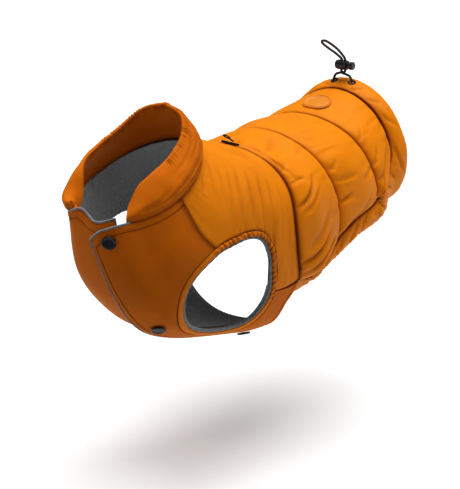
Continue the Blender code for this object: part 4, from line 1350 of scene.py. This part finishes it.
def make_snaps():
    r = SNAP_RADIUS
    profile = [(0, 0), (r - 0.6, 0), (r - 0.1, 0.25), (r, 0.8), (r - 0.15, 1.35), (r - 0.6, 1.85),
               (r - 1.1, 2.05), (r - 1.6, 1.95), (r - 2.1, 1.65), (r - 2.5, 1.45), (3.0, 1.4),
               (2.7, 1.5), (2.4, 1.4), (0, 1.45)]
    for name, (s, angle) in SNAPS.items():
        where = seat(s, angle, float(flap_lift(angle)) + 0.75)
        hardware("press_stud_" + name.split("_")[-1], turned_mesh(profile, 56, where),
                 PLASTIC, "black_plastic", name)


BADGE = (250.0, 0.0, 19.0, 0.84)    # s, angle, half width across the back, length to width


def make_badge():
    """A bare oval rubber patch with a raised rim and a faint hatched field."""
    s, angle, half, share = BADGE
    edge = 2.0

    def shape(a, b, outside):
        x = 2 * a - 1
        y = 2 * b - 1
        disc_x = x * np.sqrt(1 - y * y / 2)
        disc_y = y * np.sqrt(1 - x * x / 2)
        far = np.hypot(disc_x, disc_y)
        across = np.array([1.0, 0.0, 0.0]) * np.ones(a.shape)[..., None]
        place = moved(np.full(a.shape, s), np.full(a.shape, angle), across, half * disc_x + 1e-6)
        here_s = place[..., 0] + half * share * disc_y
        u = (here_s - REAR_SEAM[0, 1]) / (HEM_SEAM[0, 1] - REAR_SEAM[0, 1])
        lift = puff_of(u, 0 * u, "channel_rear") + 0.35
        rim = bell((1 - far) * half - edge, 1.0)
        field = step(edge + 2.2, edge + 3.2, (1 - far) * half)
        hatch = 0.16 * np.sin((here_s + half * disc_x) * TAU / 2.4) * field
        lift = lift + np.where(outside, 0.8 + 1.3 * rim + hatch - 0.6 * step(0.97, 1.0, far), 0.0)
        return lifted(here_s, place[..., 1], lift)
    piece = slab("rubber_badge", (88, 64), shape, (38.0, 32.0), RUBBER)
    declare(piece, "rubber", "badge")


def make_eyelets():
    r = 4.8
    hole = 3.0
    profile = [(0, 0), (r - 0.3, 0), (r, 0.3), (r - 0.1, 0.8), (r - 0.5, 1.2), (r - 0.9, 1.4),
               (hole + 0.6, 1.35), (hole + 0.2, 1.1), (hole, 0.7), (hole, FLOOR), (0, FLOOR)]
    for name, angle in zip(("eyelet_left", "eyelet_right"), EYELETS):
        hardware("enamelled_" + name, turned_mesh(profile, 48, eyelet_seat(angle)),
                 ENAMEL, "black_metal", name)


# ---- zip
TEETH = 70


def make_zip():
    """Tape and teeth of the closed zip; its slider and pull keep their solids' form."""
    def shape(across, u, outside):
        angle = ZIP_ANGLE * (2 * across - 1)
        s = smooth(YOKE_SEAM, np.abs(angle))[..., 0] + ZIP_HALF * (2 * u - 1)
        return lifted(s, angle, np.where(outside, -0.7, -1.6))
    tape = slab("zip_tape", (90, 4), shape, (84.0, 4.0), TAPE)
    declare(tape, "black_plastic", "zip_chain")
    bm = bmesh.new()
    for k in range(TEETH):
        angle = ZIP_ANGLE * (2 * (k + 0.5) / TEETH - 1)
        s = float(smooth(YOKE_SEAM, abs(angle))[0]) + (0.35 if k % 2 else -0.35)
        where = seat(s, angle, -0.35)
        size = Matrix.Diagonal((0.7 * MM, 1.6 * MM, 0.8 * MM, 1.0))
        bmesh.ops.create_cube(bm, size=1.0, matrix=where @ size)
    bmesh.ops.bevel(bm, geom=bm.edges[:], offset=0.12 * MM, segments=1, profile=0.5,
                    affect="EDGES", material=-1)
    hardware("zip_teeth", bm, PLASTIC, "black_plastic")


# ---- studio
SUN = 3.55
SUN_SPREAD = 56.0
SUN_FROM = (0.05, 0.06, 1.0)


def studio():
    bm = bmesh.new()
    bmesh.ops.create_grid(bm, x_segments=1, y_segments=1, size=12.0)
    bmesh.ops.translate(bm, verts=bm.verts[:], vec=(0, 0, -0.335))
    white, _, shader = finish_of("studio_white", (0.62, 0.62, 0.62), 0.9)
    set_finish(shader, Emission_Color=(1.0, 1.0, 1.0, 1.0), Emission_Strength=0.26)
    finish_mesh("floor", bm, white)
    dark, _, _ = finish_of("studio_dark_cloth", (0.03, 0.03, 0.03), 0.9)
    bm = bmesh.new()
    bmesh.ops.create_grid(bm, x_segments=1, y_segments=1, size=0.5)
    bmesh.ops.scale(bm, verts=bm.verts[:], vec=(1.8, 0.9, 1.0))
    turn = Matrix.Rotation(math.atan2(0.616, 0.788), 4, "Z")
    bmesh.ops.translate(bm, verts=bm.verts[:], vec=(0, -0.75, -0.334))
    bmesh.ops.transform(bm, matrix=turn, verts=bm.verts[:])
    finish_mesh("dark_cloth", bm, dark)
    world = bpy.data.worlds.new("studio")
    bpy.context.scene.world = world
    world.use_nodes = True
    tree = world.node_tree
    way = node(tree, "ShaderNodeTexCoord").outputs["Generated"]
    split = node(tree, "ShaderNodeSeparateXYZ", Vector=way)
    overhead = node(tree, "ShaderNodeMapRange", Value=split.outputs[2], To_Min=0.06, To_Max=0.30)
    tree.links.new(overhead.outputs[0], tree.nodes["Background"].inputs[1])
    tree.nodes["Background"].inputs[0].default_value = (1.0, 1.0, 1.0, 1.0)
    bpy.context.scene.view_settings.view_transform = "Standard"
    bpy.context.scene.view_settings.look = "Medium High Contrast"
    data = bpy.data.lights.new("soft_sun", "SUN")
    data.energy = SUN
    data.angle = math.radians(SUN_SPREAD)
    lamp = added("soft_sun", data)
    lamp.rotation_euler = Vector(SUN_FROM).to_track_quat("Z", "Y").to_euler()


def carried_over():
    """Give every solid that stays its own finish."""
    finishes = {
        "cord_lock_barrel": PLASTIC,
        "cord_lock_plunger": PLASTIC,
        "zip_slider": ENAMEL,
        "zip_pull": ENAMEL,
        "corner_tab": FLEECE,
    }
    for name, finish in finishes.items():
        for slot_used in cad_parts[name].material_slots:
            slot_used.material = finish


make_yoke()
for channel, outline in channel_patches().items():
    make_channel(channel, outline)
make_hem_band()
make_chest("chest_left", LEFT, 51)
make_chest("chest_right", RIGHT, 52)
make_lining_yoke()
make_lining_back()
make_chest_lining("lining_chest_left", LEFT)
make_chest_lining("lining_chest_right", RIGHT)
make_binding("binding_left", LEFT, 81)
make_binding("binding_right", RIGHT, 82)
make_collar()
make_edging("lining_edge_left", LEFT, 0.165, 0.63)
make_edging("lining_edge_right", RIGHT, 0.15, 0.31)
make_arm_edging("lining_edge_arm_left", LEFT, 91)
make_arm_edging("lining_edge_arm_right", RIGHT, 92)
stitch_chest("topstitching_left", LEFT, 0.02, 0.985)
stitch_chest("topstitching_right", RIGHT, 0.02, 0.985)
make_snaps()
make_badge()
make_eyelets()
make_zip()
carried_over()
studio()
